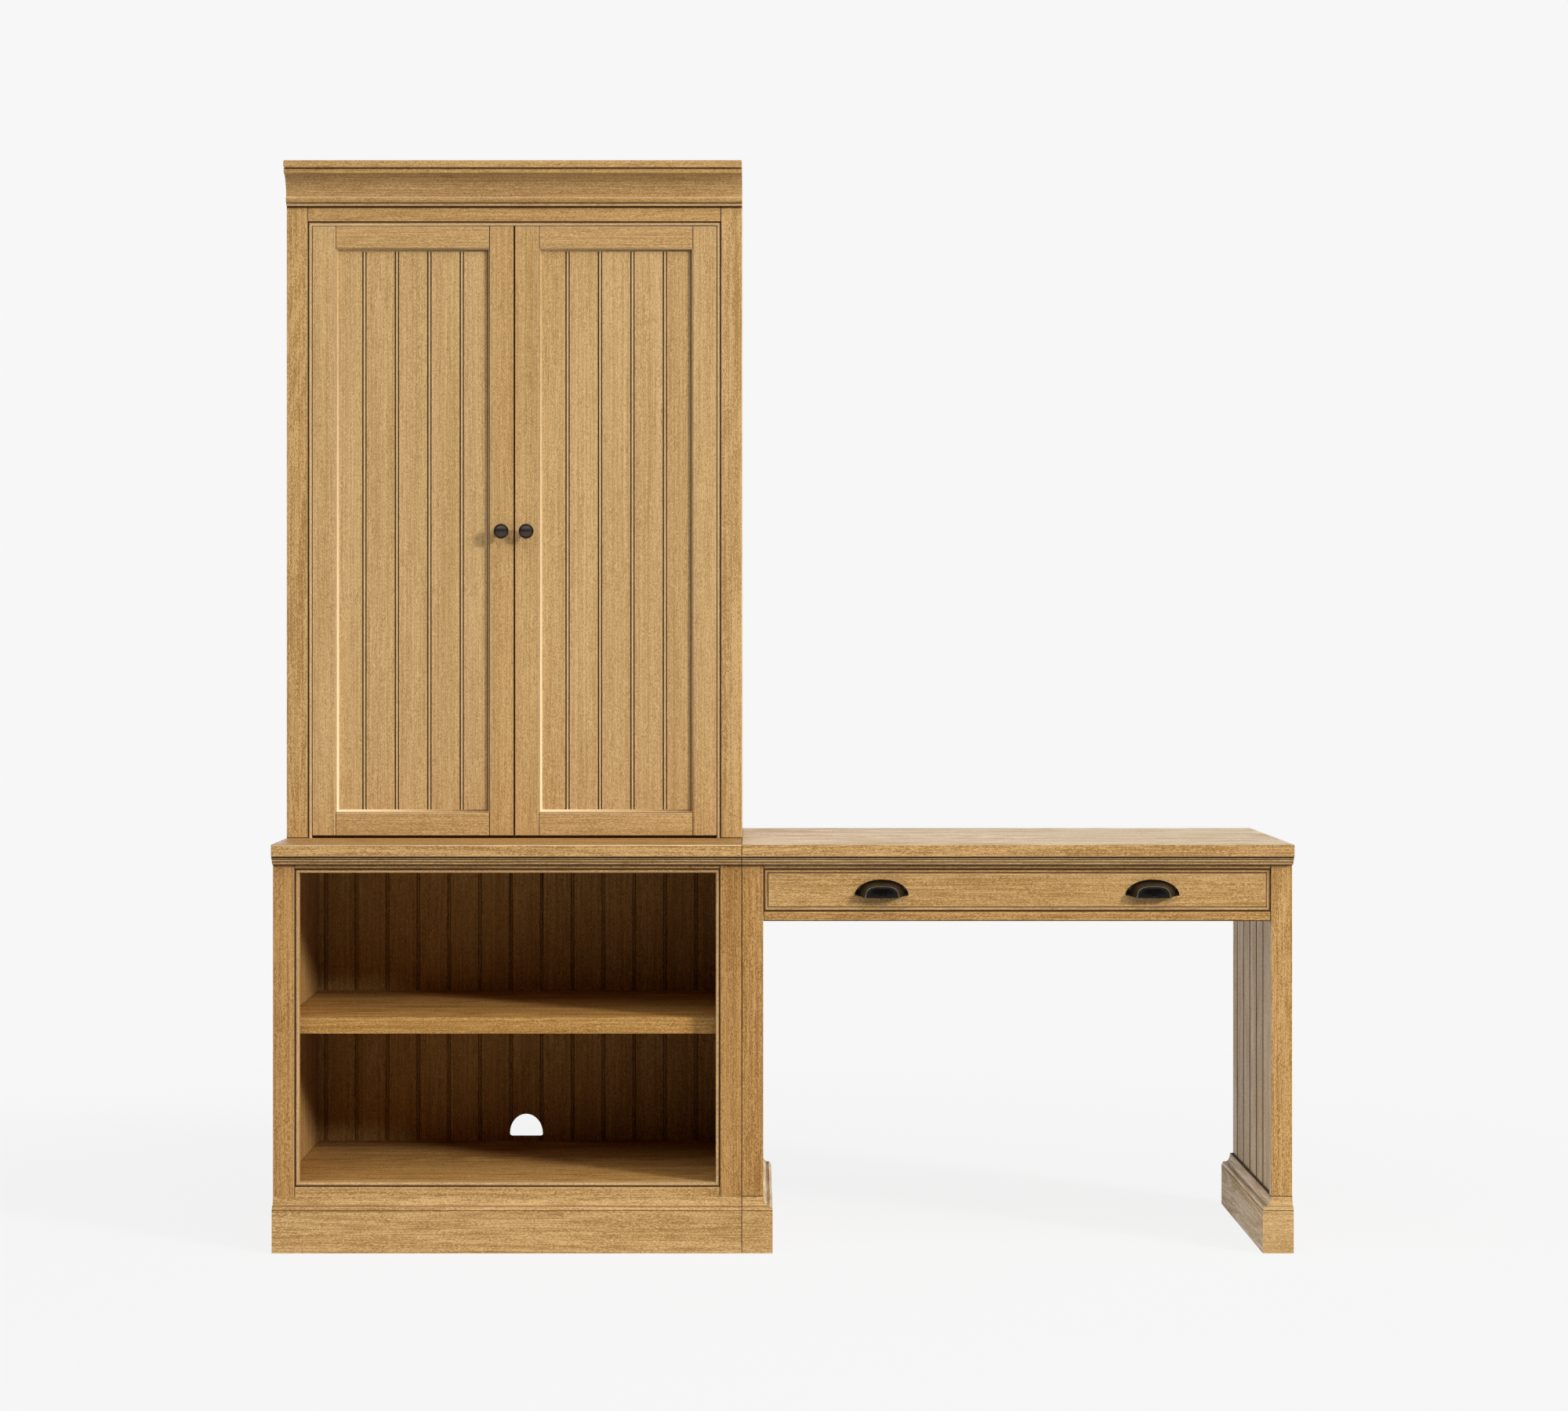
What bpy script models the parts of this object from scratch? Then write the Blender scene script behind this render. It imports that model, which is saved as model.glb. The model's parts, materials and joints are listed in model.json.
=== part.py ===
"""Writing desk with bookcase: an open base cabinet, a two-door hutch on it, and a desk with one drawer.

Metres, +Z up, the front faces -Y. The origin is on the floor under the middle of the whole unit.
"""

import math

import bmesh
import bpy
from mathutils import Matrix, Vector

# Whole unit
CABINET_WIDTH = 0.876
DESK_WIDTH = 1.029
BASE_DEPTH = 0.610
BASE_HEIGHT = 0.762
HUTCH_HEIGHT = 1.298
HUTCH_DEPTH = 0.380
FIT_GAP = 0.0003

# Top slabs and the stepped bed moulding under their front edge
SLAB_THICKNESS = 0.022
SLAB_OVERHANG = 0.028
SLAB_EASE = 0.002
BED_HEIGHT = 0.016
BED_TOP_PROJECTION = 0.024
BED_FOOT_PROJECTION = 0.008
BED_REEDS = 3

# Face frames and the bead that lines their openings
STILE_WIDTH = 0.040
FRAME_DEPTH = 0.020
BEAD_WIDTH = 0.0085
QUIRK_WIDTH = 0.0015
QUIRK_DEPTH = 0.003
CABINET_RAIL_HEIGHT = 0.0235
CABINET_SILL_HEIGHT = 0.121

# Carcass boards
SIDE_THICKNESS = 0.017
BOTTOM_THICKNESS = 0.018
BACK_THICKNESS = 0.009

# Beadboard: two fine grooves with a small bead between them
BOARD_PITCH = 0.0625
GROOVE_WIDTH = 0.0074
GROOVE_DEPTH = 0.002
GROOVE_BEAD_WIDTH = 0.0036
GROOVE_BEAD_DROP = 0.00045

# Plinth
PLINTH_HEIGHT = 0.103
PLINTH_PROJECTION = 0.0175
PLINTH_BOARD_HEIGHT = 0.075
PLINTH_STEP_HEIGHT = 0.086
PLINTH_COVE_PROJECTION = 0.010
PLINTH_STEP_PROJECTION = 0.0125

# Cable hole in the base back
CABLE_HOLE_WIDTH = 0.067
CABLE_HOLE_HEIGHT = 0.045
CABLE_HOLE_SILL = 0.009
CABLE_HOLE_CORNER = 0.005

# Shelves and shelf pins
BASE_SHELF_THICKNESS = 0.031
BASE_SHELF_BOTTOM = 0.403
BASE_SHELF_SETBACK = 0.040
SHELF_NOTCH_WIDTH = 0.054
SHELF_NOTCH_DEPTH = 0.040
SHELF_NOTCH_CORNER = 0.008
HUTCH_SHELF_THICKNESS = 0.022
HUTCH_SHELF_SETBACK = 0.045
HUTCH_SHELF_HEIGHTS = {"lower": 0.390, "upper": 0.780}
SHELF_SIDE_GAP = 0.001
SHELF_EASE = 0.0015
PIN_RADIUS = 0.003
PIN_LENGTH = 0.009
PIN_INSET = 0.050

# Hutch crown
CAP_THICKNESS = 0.014
CAP_PROJECTION = 0.052
CROWN_HEIGHT = 0.068
CROWN_FILLET_HEIGHT = 0.009
CROWN_FILLET_PROJECTION = 0.046
CROWN_COVE_HEIGHT = 0.043
CROWN_COVE_TOP = 0.044
CROWN_COVE_FOOT = 0.009
CROWN_OVOLO_HEIGHT = 0.010
CROWN_OVOLO_PROJECTION = 0.014
CROWN_STRIP_PROJECTION = 0.008
FRIEZE_HEIGHT = 0.029

# Doors
DOOR_THICKNESS = 0.020
DOOR_GAP = 0.002
DOOR_SIDE_GAP = 0.0012
DOOR_BOTTOM_GAP = 0.0055
HINGE_STILE_WIDTH = 0.044
LOCK_STILE_WIDTH = 0.046
DOOR_TOP_RAIL_HEIGHT = 0.0415
DOOR_BOTTOM_RAIL_HEIGHT = 0.043
PANEL_THICKNESS = 0.007
PANEL_RECESS = 0.009
PANEL_TONGUE = 0.004
PANEL_BORDER_WIDTH = 0.006
PANEL_BORDER_FLAT = 0.002
PANEL_BORDER_HEIGHT = 0.007
KNOB_HEIGHT = 1.352
KNOB_DIAMETER = 0.029
KNOB_PROJECTION = 0.028
KNOB_HEAD_HEIGHT = 0.00725
KNOB_RIM_DROP = 0.0022
KNOB_RIM_TAPER = 0.00145
KNOB_UNDERSIDE_DROP = 0.0044
KNOB_NECK_DIAMETER = 0.012
KNOB_FOOT_DIAMETER = 0.020
KNOB_FOOT_EDGE = 0.0015
KNOB_FOOT_HEIGHT = 0.0036

# Concealed hinges: a turned cup in the door and an arm on the carcass side
HINGE_AXIS_INSET = 0.0015
HINGE_END_DISTANCE = 0.100
CUP_DIAMETER = 0.035
CUP_EDGE_DISTANCE = 0.0035
CUP_DEPTH = 0.011
CUP_WALL = 0.0018
CUP_FLANGE_WIDTH = 0.002
CUP_FLANGE_THICKNESS = 0.0015
ARM_HEIGHT = 0.016
ARM_PLATE_LENGTH = 0.050
ARM_PLATE_THICKNESS = 0.004
ARM_ROOT_DEPTH = 0.016
ARM_TIP_DEPTH = 0.010

# Desk
APRON_TOP_RAIL_HEIGHT = 0.0235
DRAWER_FRAME_HEIGHT = 0.081
APRON_BOTTOM_RAIL_HEIGHT = 0.0175
BACK_RAIL_THICKNESS = 0.018
LEG_STILE_DEPTH = 0.022
LEG_PANEL_RECESS = 0.006
LEG_GROOVES = 5
LEG_GROOVE_PITCH = 0.092
LEG_FIRST_GROOVE = 0.149

# Drawer
DRAWER_GAP = 0.0012
DRAWER_FRONT_THICKNESS = 0.020
DRAWER_BOX_DEPTH = 0.480
DRAWER_BOX_HEIGHT = 0.052
DRAWER_SIDE_THICKNESS = 0.012
DRAWER_SIDE_CLEARANCE = 0.004
DRAWER_BOTTOM_THICKNESS = 0.006
DRAWER_BOTTOM_RISE = 0.006
DRAWER_BACK_DROP = 0.002
RUNNER_HEIGHT = 0.020
RUNNER_BEARING = 0.010
PULL_WIDTH = 0.101
PULL_HEIGHT = 0.030
PULL_LIP_DROP = 0.0044
PULL_PROJECTION = 0.025
PULL_WALL = 0.0025
PULL_OFFSET = 0.253
PULL_RISE = 0.0208

# Facets on the round pieces
PIN_STEPS = 12
KNOB_STEPS = 24
CUP_STEPS = 24
PULL_STEPS = 16
ARC_STEPS = 8

# Places that follow from the sizes
CABINET_LEFT = -(CABINET_WIDTH + DESK_WIDTH) / 2
CABINET_RIGHT = CABINET_LEFT + CABINET_WIDTH
CABINET_MIDDLE = (CABINET_LEFT + CABINET_RIGHT) / 2
DESK_LEFT = CABINET_RIGHT + FIT_GAP
DESK_RIGHT = CABINET_RIGHT + DESK_WIDTH
DESK_MIDDLE = (DESK_LEFT + DESK_RIGHT) / 2
FRONT = -BASE_DEPTH / 2
BACK = BASE_DEPTH / 2
FACE = FRONT + SLAB_OVERHANG
HUTCH_FACE = BACK - HUTCH_DEPTH
SLAB_UNDERSIDE = BASE_HEIGHT - SLAB_THICKNESS
CARCASS_TOP = SLAB_UNDERSIDE - FIT_GAP
INSIDE_LEFT = CABINET_LEFT + SIDE_THICKNESS + FIT_GAP
INSIDE_RIGHT = CABINET_RIGHT - SIDE_THICKNESS - FIT_GAP
INSIDE_BACK = BACK - BACK_THICKNESS - FIT_GAP
FRAME_BACK = FACE + FRAME_DEPTH + FIT_GAP
HUTCH_FRAME_BACK = HUTCH_FACE + FRAME_DEPTH + FIT_GAP
HUTCH_FLOOR = BASE_HEIGHT + FIT_GAP
HUTCH_TOP = BASE_HEIGHT + HUTCH_HEIGHT
CAP_UNDERSIDE = HUTCH_TOP - CAP_THICKNESS
HUTCH_CARCASS_TOP = CAP_UNDERSIDE - FIT_GAP
FRIEZE_BOTTOM = CAP_UNDERSIDE - CROWN_HEIGHT - FRIEZE_HEIGHT

# Turns that lay an upright cylinder along X or along Y
TURN_TO_X = Matrix.Rotation(math.pi / 2, 3, "Y")
TURN_TO_Y = Matrix.Rotation(math.pi / 2, 3, "X")

# Colour, roughness and metallic value of each finish
OAK = ((0.552, 0.337, 0.135), 0.55, 0.0)
PALE_OAK = ((0.600, 0.400, 0.190), 0.60, 0.0)
BRONZE = ((0.030, 0.024, 0.020), 0.42, 0.85)
STEEL = ((0.560, 0.565, 0.570), 0.35, 1.0)


def clear_scene():
    for item in list(bpy.data.objects):
        bpy.data.objects.remove(item, do_unlink=True)


def new_collection(name):
    collection = bpy.data.collections.new(name)
    bpy.context.scene.collection.children.link(collection)
    return collection


def add_finish(part, finish):
    colour, roughness, metallic = finish
    material = bpy.data.materials.new(part.name + "_finish")
    material.use_nodes = True
    shader = material.node_tree.nodes["Principled BSDF"]
    shader.inputs["Base Color"].default_value = (*colour, 1.0)
    shader.inputs["Roughness"].default_value = roughness
    shader.inputs["Metallic"].default_value = metallic
    part.data.materials.append(material)


def place(name, bm, finish, carrier=None):
    """Make a named piece of a mesh drawn in place, with its origin at the middle of its box."""
    low = Vector([min(v.co[axis] for v in bm.verts) for axis in range(3)])
    high = Vector([max(v.co[axis] for v in bm.verts) for axis in range(3)])
    middle = (low + high) / 2
    bmesh.ops.translate(bm, verts=bm.verts, vec=-middle)
    mesh = bpy.data.meshes.new(name)
    bm.to_mesh(mesh)
    bm.free()
    part = bpy.data.objects.new(name, mesh)
    part.location = middle
    PARTS.objects.link(part)
    if carrier:
        part.parent = carrier
        part.location = middle - carrier.location
    add_finish(part, finish)
    return part


def make_cutter(name, bm):
    """A shape that only cuts or joins other pieces."""
    mesh = bpy.data.meshes.new(name)
    bm.to_mesh(mesh)
    bm.free()
    cutter = bpy.data.objects.new(name, mesh)
    cutter.hide_render = True
    cutter.display_type = "WIRE"
    CUTTERS.objects.link(cutter)
    return cutter


def combine(part, tool, operation):
    change = part.modifiers.new(tool.name, "BOOLEAN")
    change.operation = operation
    change.object = tool
    change.solver = "EXACT"


def add_axis(name, position):
    """An empty on a joint's axis, which carries the pieces that move with it."""
    axis = bpy.data.objects.new(name, None)
    axis.location = position
    PARTS.objects.link(axis)
    return axis


def add_box(bm, low, high):
    box = bmesh.ops.create_cube(bm, size=1.0)["verts"]
    low, high = Vector(low), Vector(high)
    bmesh.ops.scale(bm, verts=box, vec=high - low)
    bmesh.ops.translate(bm, verts=box, vec=(low + high) / 2)


def box_shape(low, high):
    bm = bmesh.new()
    add_box(bm, low, high)
    return bm


def prism_shape(outline, length):
    """A flat outline of points, drawn out to a solid along a vector."""
    bm = bmesh.new()
    base = bm.faces.new([bm.verts.new(point) for point in outline])
    grown = bmesh.ops.extrude_face_region(bm, geom=[base])["geom"]
    moved = [item for item in grown if isinstance(item, bmesh.types.BMVert)]
    bmesh.ops.translate(bm, verts=moved, vec=length)
    bmesh.ops.recalc_face_normals(bm, faces=bm.faces)
    return bm


def board(name, low, high, finish=OAK, carrier=None):
    return place(name, box_shape(low, high), finish, carrier)


def ease_edges(part, width):
    bevel = part.modifiers.new("eased edges", "BEVEL")
    bevel.width = width
    bevel.segments = 2


def arc(centre, radii, start, end):
    """Points of an elliptical arc, with angles in degrees."""
    points = []
    for step in range(ARC_STEPS + 1):
        angle = math.radians(start + (end - start) * step / ARC_STEPS)
        points.append((centre[0] + radii[0] * math.cos(angle), centre[1] + radii[1] * math.sin(angle)))
    return points


def on_floor_plan(u, v, w):
    return Vector((u, v, w))


def on_front(face):
    """Maps a drawing of the front (across, up) and a projection from the face to space."""
    return lambda u, v, w: Vector((u, face - w, v))


def mitred_sections(profile, path, closed, to_space):
    """The profile set at each corner of the path, to the right of the way the path runs."""
    points = [Vector(point) for point in path]
    sides = []
    for start, end in zip(points, points[1:] + points[:1]):
        way = (end - start).normalized()
        sides.append(Vector((way.y, -way.x)))
    sections = []
    for index, point in enumerate(points):
        before = sides[index - 1]
        after = sides[index]
        if not closed and index == 0:
            before = after
        if not closed and index == len(points) - 1:
            after = before
        mitre = (before + after) / (1 + before.dot(after))
        sections.append([to_space(*(point + mitre * out), w) for out, w in profile])
    return sections


def moulding_shape(profile, path, to_space=on_floor_plan, closed=False):
    """A profile (offset from the path, height over its plane) run along a path with mitred corners."""
    bm = bmesh.new()
    rows = []
    for section in mitred_sections(profile, path, closed, to_space):
        rows.append([bm.verts.new(point) for point in section])
    pairs = list(zip(rows, rows[1:]))
    if closed:
        pairs.append((rows[-1], rows[0]))
    else:
        bm.faces.new(rows[0])
        bm.faces.new(rows[-1])
    for first, second in pairs:
        for index in range(len(profile)):
            bm.faces.new((first[index - 1], first[index], second[index], second[index - 1]))
    bmesh.ops.recalc_face_normals(bm, faces=bm.faces)
    return bm


def moulding(name, profile, path, to_space=on_floor_plan, closed=False, finish=OAK):
    return place(name, moulding_shape(profile, path, to_space, closed), finish)


def slab_profile():
    """Offset out from the face-frame plane against height: slab with eased edges, then the bed moulding."""
    edge = SLAB_OVERHANG
    ease = SLAB_EASE
    points = [(FACE - BACK, SLAB_UNDERSIDE), (FACE - BACK, BASE_HEIGHT)]
    points += arc((edge - ease, BASE_HEIGHT - ease), (ease, ease), 90, 0)
    points += arc((edge - ease, SLAB_UNDERSIDE + ease), (ease, ease), 0, -90)
    reed_height = BED_HEIGHT / BED_REEDS
    reed_projection = (BED_TOP_PROJECTION - BED_FOOT_PROJECTION) / BED_REEDS
    for reed in range(BED_REEDS):
        foot = BED_TOP_PROJECTION - reed_projection * (reed + 1)
        top = SLAB_UNDERSIDE - reed_height * reed
        points += arc((foot, top), (reed_projection, reed_height), 0, -90)[:-1]
    points.append((BED_FOOT_PROJECTION, SLAB_UNDERSIDE - BED_HEIGHT))
    points.append((FIT_GAP, SLAB_UNDERSIDE - BED_HEIGHT))
    points.append((FIT_GAP, SLAB_UNDERSIDE))
    return points


def bead_profile():
    """Offset in from the frame's edge against projection from its face: a quirk, then a round bead."""
    radius = (BEAD_WIDTH - QUIRK_WIDTH) / 2
    points = [(FIT_GAP, -FRAME_DEPTH), (FIT_GAP, -QUIRK_DEPTH), (QUIRK_WIDTH, -QUIRK_DEPTH)]
    points += arc((QUIRK_WIDTH + radius, -radius), (radius, radius), 180, 0)[1:]
    points.append((BEAD_WIDTH, -FRAME_DEPTH))
    return points


def plinth_profile():
    """Offset out from the face-frame plane against height: board, ovolo step and cove."""
    points = [(FIT_GAP, 0.0), (PLINTH_PROJECTION, 0.0)]
    ovolo = (PLINTH_PROJECTION - PLINTH_STEP_PROJECTION, PLINTH_STEP_HEIGHT - PLINTH_BOARD_HEIGHT)
    points += arc((PLINTH_STEP_PROJECTION, PLINTH_BOARD_HEIGHT), ovolo, 0, 90)
    cove = (PLINTH_COVE_PROJECTION - FIT_GAP, PLINTH_HEIGHT - PLINTH_STEP_HEIGHT)
    points += arc((PLINTH_COVE_PROJECTION, PLINTH_HEIGHT), cove, -90, -180)
    return points


def crown_profile():
    """Offset out from the hutch face against height: strip, ovolo, cove and fillet under the cap board."""
    top = CAP_UNDERSIDE - FIT_GAP
    fillet_foot = top - CROWN_FILLET_HEIGHT
    cove_foot = fillet_foot - CROWN_COVE_HEIGHT
    ovolo_foot = cove_foot - CROWN_OVOLO_HEIGHT
    crown_foot = CAP_UNDERSIDE - CROWN_HEIGHT
    strip = CROWN_STRIP_PROJECTION
    points = [(FIT_GAP, crown_foot), (strip, crown_foot), (strip, ovolo_foot)]
    ovolo = (CROWN_OVOLO_PROJECTION - strip, CROWN_OVOLO_HEIGHT)
    points += arc((strip, cove_foot), ovolo, -90, 0)[1:]
    cove = (CROWN_COVE_TOP - CROWN_COVE_FOOT, CROWN_COVE_HEIGHT)
    points += arc((CROWN_COVE_TOP, cove_foot), cove, 180, 90)
    points.append((CROWN_FILLET_PROJECTION, fillet_foot))
    points.append((CROWN_FILLET_PROJECTION, top))
    points.append((FIT_GAP, top))
    return points


def grooved_edge(centres):
    """Points along a beadboard's face (across, height over the face): each groove holds a small bead."""
    half = GROOVE_WIDTH / 2
    bead = GROOVE_BEAD_WIDTH / 2
    valley = (half + bead) / 2
    slope = [(half, 0.0), (valley, -GROOVE_DEPTH), (bead, -GROOVE_BEAD_DROP)]
    points = []
    for centre in centres:
        points += [(centre - across, height) for across, height in slope]
        points.append((centre, 0.0))
        points += [(centre + across, height) for across, height in reversed(slope)]
    return points


def groove_centres(middle, width):
    """Places of the grooves of a beadboard: half a pitch each side of its middle, then every pitch."""
    count = math.floor((width / 2 - GROOVE_WIDTH) / BOARD_PITCH + 0.5)
    right = [BOARD_PITCH * (index + 0.5) for index in range(count)]
    return [middle + place_across for place_across in sorted([-x for x in right] + right)]


def beadboard(name, left, right, face, thickness, bottom, top, visible, finish=OAK, carrier=None):
    """An upright grooved board that faces the front; visible is the width its grooves are set out on."""
    middle = (left + right) / 2
    outline = [(left, 0.0)] + grooved_edge(groove_centres(middle, visible))
    outline += [(right, 0.0), (right, -thickness), (left, -thickness)]
    points = [(x, face - height, bottom) for x, height in outline]
    return place(name, prism_shape(points, (0, 0, top - bottom)), finish, carrier)


def turned(name, profile, position, finish, steps, carrier, facing=-1):
    """A round piece on an axis along Y; the profile is (radius, distance along the axis), tip to foot."""
    mesh = bpy.data.meshes.new(name)
    edges = [(index, index + 1) for index in range(len(profile) - 1)]
    mesh.from_pydata([(radius, 0.0, along) for radius, along in profile], edges, [])
    part = bpy.data.objects.new(name, mesh)
    part.rotation_euler = (-facing * math.pi / 2, 0.0, 0.0)
    part.location = Vector(position) - carrier.location
    part.parent = carrier
    PARTS.objects.link(part)
    screw = part.modifiers.new("turning", "SCREW")
    screw.steps = steps
    screw.render_steps = steps
    screw.use_merge_vertices = True
    screw.merge_threshold = 0.00001
    add_finish(part, finish)
    return part


def add_pins(side, inner_face, direction, heights, depths):
    """Shelf pins that stand out of a side panel, under each shelf."""
    bm = bmesh.new()
    root = min(PIN_LENGTH, SIDE_THICKNESS / 2)
    for height in heights:
        for depth in depths:
            pin = bmesh.ops.create_cone(
                bm,
                cap_ends=True,
                segments=PIN_STEPS,
                radius1=PIN_RADIUS,
                radius2=PIN_RADIUS,
                depth=PIN_LENGTH + root,
            )["verts"]
            bmesh.ops.rotate(bm, verts=pin, cent=(0, 0, 0), matrix=TURN_TO_X)
            middle = inner_face + direction * (PIN_LENGTH - root) / 2
            bmesh.ops.translate(bm, verts=pin, vec=(middle, depth, height - PIN_RADIUS - FIT_GAP))
    combine(side, make_cutter(side.name + "_pins", bm), "UNION")


def build_base_cabinet():
    ends = [(CABINET_LEFT, FACE), (CABINET_RIGHT, FACE)]
    moulding("base_top", slab_profile(), ends)
    moulding("base_plinth", plinth_profile(), ends)
    left_face = INSIDE_LEFT - FIT_GAP
    right_face = INSIDE_RIGHT + FIT_GAP
    left = board("base_side_left", (CABINET_LEFT, FRAME_BACK, 0), (left_face, BACK, CARCASS_TOP))
    right = board("base_side_right", (right_face, FRAME_BACK, 0), (CABINET_RIGHT, BACK, CARCASS_TOP))
    floor = CABINET_SILL_HEIGHT + BEAD_WIDTH
    underside = floor - BOTTOM_THICKNESS
    board("base_bottom", (INSIDE_LEFT, FRAME_BACK, underside), (INSIDE_RIGHT, INSIDE_BACK, floor))
    build_base_back(floor)
    build_base_frame()
    shelf = board(
        "base_shelf",
        (INSIDE_LEFT + SHELF_SIDE_GAP, FACE + BASE_SHELF_SETBACK, BASE_SHELF_BOTTOM),
        (INSIDE_RIGHT - SHELF_SIDE_GAP, INSIDE_BACK, BASE_SHELF_BOTTOM + BASE_SHELF_THICKNESS),
    )
    ease_edges(shelf, SHELF_EASE)
    cut_cable_notch(shelf)
    depths = (FACE + BASE_SHELF_SETBACK + PIN_INSET, INSIDE_BACK - PIN_INSET)
    add_pins(left, left_face, 1, [BASE_SHELF_BOTTOM], depths)
    add_pins(right, right_face, -1, [BASE_SHELF_BOTTOM], depths)


def build_base_back(floor):
    face = BACK - BACK_THICKNESS
    width = INSIDE_RIGHT - INSIDE_LEFT
    back = beadboard("base_back", INSIDE_LEFT, INSIDE_RIGHT, face, BACK_THICKNESS, 0.0, CARCASS_TOP, width)
    half = CABLE_HOLE_WIDTH / 2
    corner = CABLE_HOLE_CORNER
    sill = floor + CABLE_HOLE_SILL
    dome = CABLE_HOLE_HEIGHT - corner
    outline = arc((half - corner, sill + corner), (corner, corner), -90, 0)
    outline += arc((0, sill + corner), (half, dome), 0, 90)[1:]
    outline += arc((0, sill + corner), (half, dome), 90, 180)[1:]
    outline += arc((corner - half, sill + corner), (corner, corner), 180, 270)[1:]
    points = [(CABINET_MIDDLE + across, face - BACK_THICKNESS, height) for across, height in outline]
    hole = prism_shape(points, (0, 3 * BACK_THICKNESS, 0))
    combine(back, make_cutter("cable_hole", hole), "DIFFERENCE")


def cut_cable_notch(shelf):
    """A round-cornered notch in the middle of the shelf's back edge, where cables pass."""
    half = SHELF_NOTCH_WIDTH / 2
    corner = SHELF_NOTCH_CORNER
    middle = INSIDE_BACK - SHELF_NOTCH_DEPTH + corner
    outline = [(half, BACK)] + arc((half - corner, middle), (corner, corner), 0, -90)
    outline += arc((corner - half, middle), (corner, corner), -90, -180) + [(-half, BACK)]
    under = BASE_SHELF_BOTTOM - BASE_SHELF_THICKNESS
    points = [(CABINET_MIDDLE + across, along, under) for across, along in outline]
    notch = prism_shape(points, (0, 0, 3 * BASE_SHELF_THICKNESS))
    combine(shelf, make_cutter("cable_notch", notch), "DIFFERENCE")


def build_base_frame():
    stile_back = FACE + FRAME_DEPTH
    frame_left = CABINET_LEFT + STILE_WIDTH
    frame_right = CABINET_RIGHT - STILE_WIDTH
    rail_bottom = SLAB_UNDERSIDE - CABINET_RAIL_HEIGHT
    board("base_stile_left", (CABINET_LEFT, FACE, 0), (frame_left, stile_back, CARCASS_TOP))
    board("base_stile_right", (frame_right, FACE, 0), (CABINET_RIGHT, stile_back, CARCASS_TOP))
    rail_left = frame_left + FIT_GAP
    rail_right = frame_right - FIT_GAP
    board("base_top_rail", (rail_left, FACE, rail_bottom), (rail_right, stile_back, CARCASS_TOP))
    board("base_bottom_rail", (rail_left, FACE, 0), (rail_right, stile_back, CABINET_SILL_HEIGHT))
    opening = [
        (frame_left, CABINET_SILL_HEIGHT),
        (frame_left, rail_bottom),
        (frame_right, rail_bottom),
        (frame_right, CABINET_SILL_HEIGHT),
    ]
    moulding("base_opening_bead", bead_profile(), opening, on_front(FACE), closed=True)


def build_hutch():
    left = board(
        "hutch_side_left",
        (CABINET_LEFT, HUTCH_FRAME_BACK, HUTCH_FLOOR),
        (INSIDE_LEFT - FIT_GAP, BACK, HUTCH_CARCASS_TOP),
    )
    right = board(
        "hutch_side_right",
        (INSIDE_RIGHT + FIT_GAP, HUTCH_FRAME_BACK, HUTCH_FLOOR),
        (CABINET_RIGHT, BACK, HUTCH_CARCASS_TOP),
    )
    cap = board(
        "hutch_top",
        (CABINET_LEFT, HUTCH_FACE - CAP_PROJECTION, CAP_UNDERSIDE),
        (CABINET_RIGHT, BACK, HUTCH_TOP),
    )
    ease_edges(cap, SLAB_EASE)
    door_back = HUTCH_FACE + max(DOOR_THICKNESS, FRAME_DEPTH) + CUP_FLANGE_THICKNESS + 2 * FIT_GAP
    board(
        "hutch_bottom",
        (INSIDE_LEFT, door_back, HUTCH_FLOOR),
        (INSIDE_RIGHT, INSIDE_BACK, HUTCH_FLOOR + BOTTOM_THICKNESS),
    )
    back_face = BACK - BACK_THICKNESS
    width = INSIDE_RIGHT - INSIDE_LEFT
    beadboard(
        "hutch_back",
        INSIDE_LEFT,
        INSIDE_RIGHT,
        back_face,
        BACK_THICKNESS,
        HUTCH_FLOOR,
        HUTCH_CARCASS_TOP,
        width,
    )
    build_hutch_frame()
    shelf_front = HUTCH_FACE + HUTCH_SHELF_SETBACK
    heights = []
    for level, rise in HUTCH_SHELF_HEIGHTS.items():
        bottom = BASE_HEIGHT + rise
        heights.append(bottom)
        shelf = board(
            "hutch_shelf_" + level,
            (INSIDE_LEFT + SHELF_SIDE_GAP, shelf_front, bottom),
            (INSIDE_RIGHT - SHELF_SIDE_GAP, INSIDE_BACK, bottom + HUTCH_SHELF_THICKNESS),
        )
        ease_edges(shelf, SHELF_EASE)
    depths = (shelf_front + PIN_INSET, INSIDE_BACK - PIN_INSET)
    add_pins(left, INSIDE_LEFT - FIT_GAP, 1, heights, depths)
    add_pins(right, INSIDE_RIGHT + FIT_GAP, -1, heights, depths)


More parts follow.
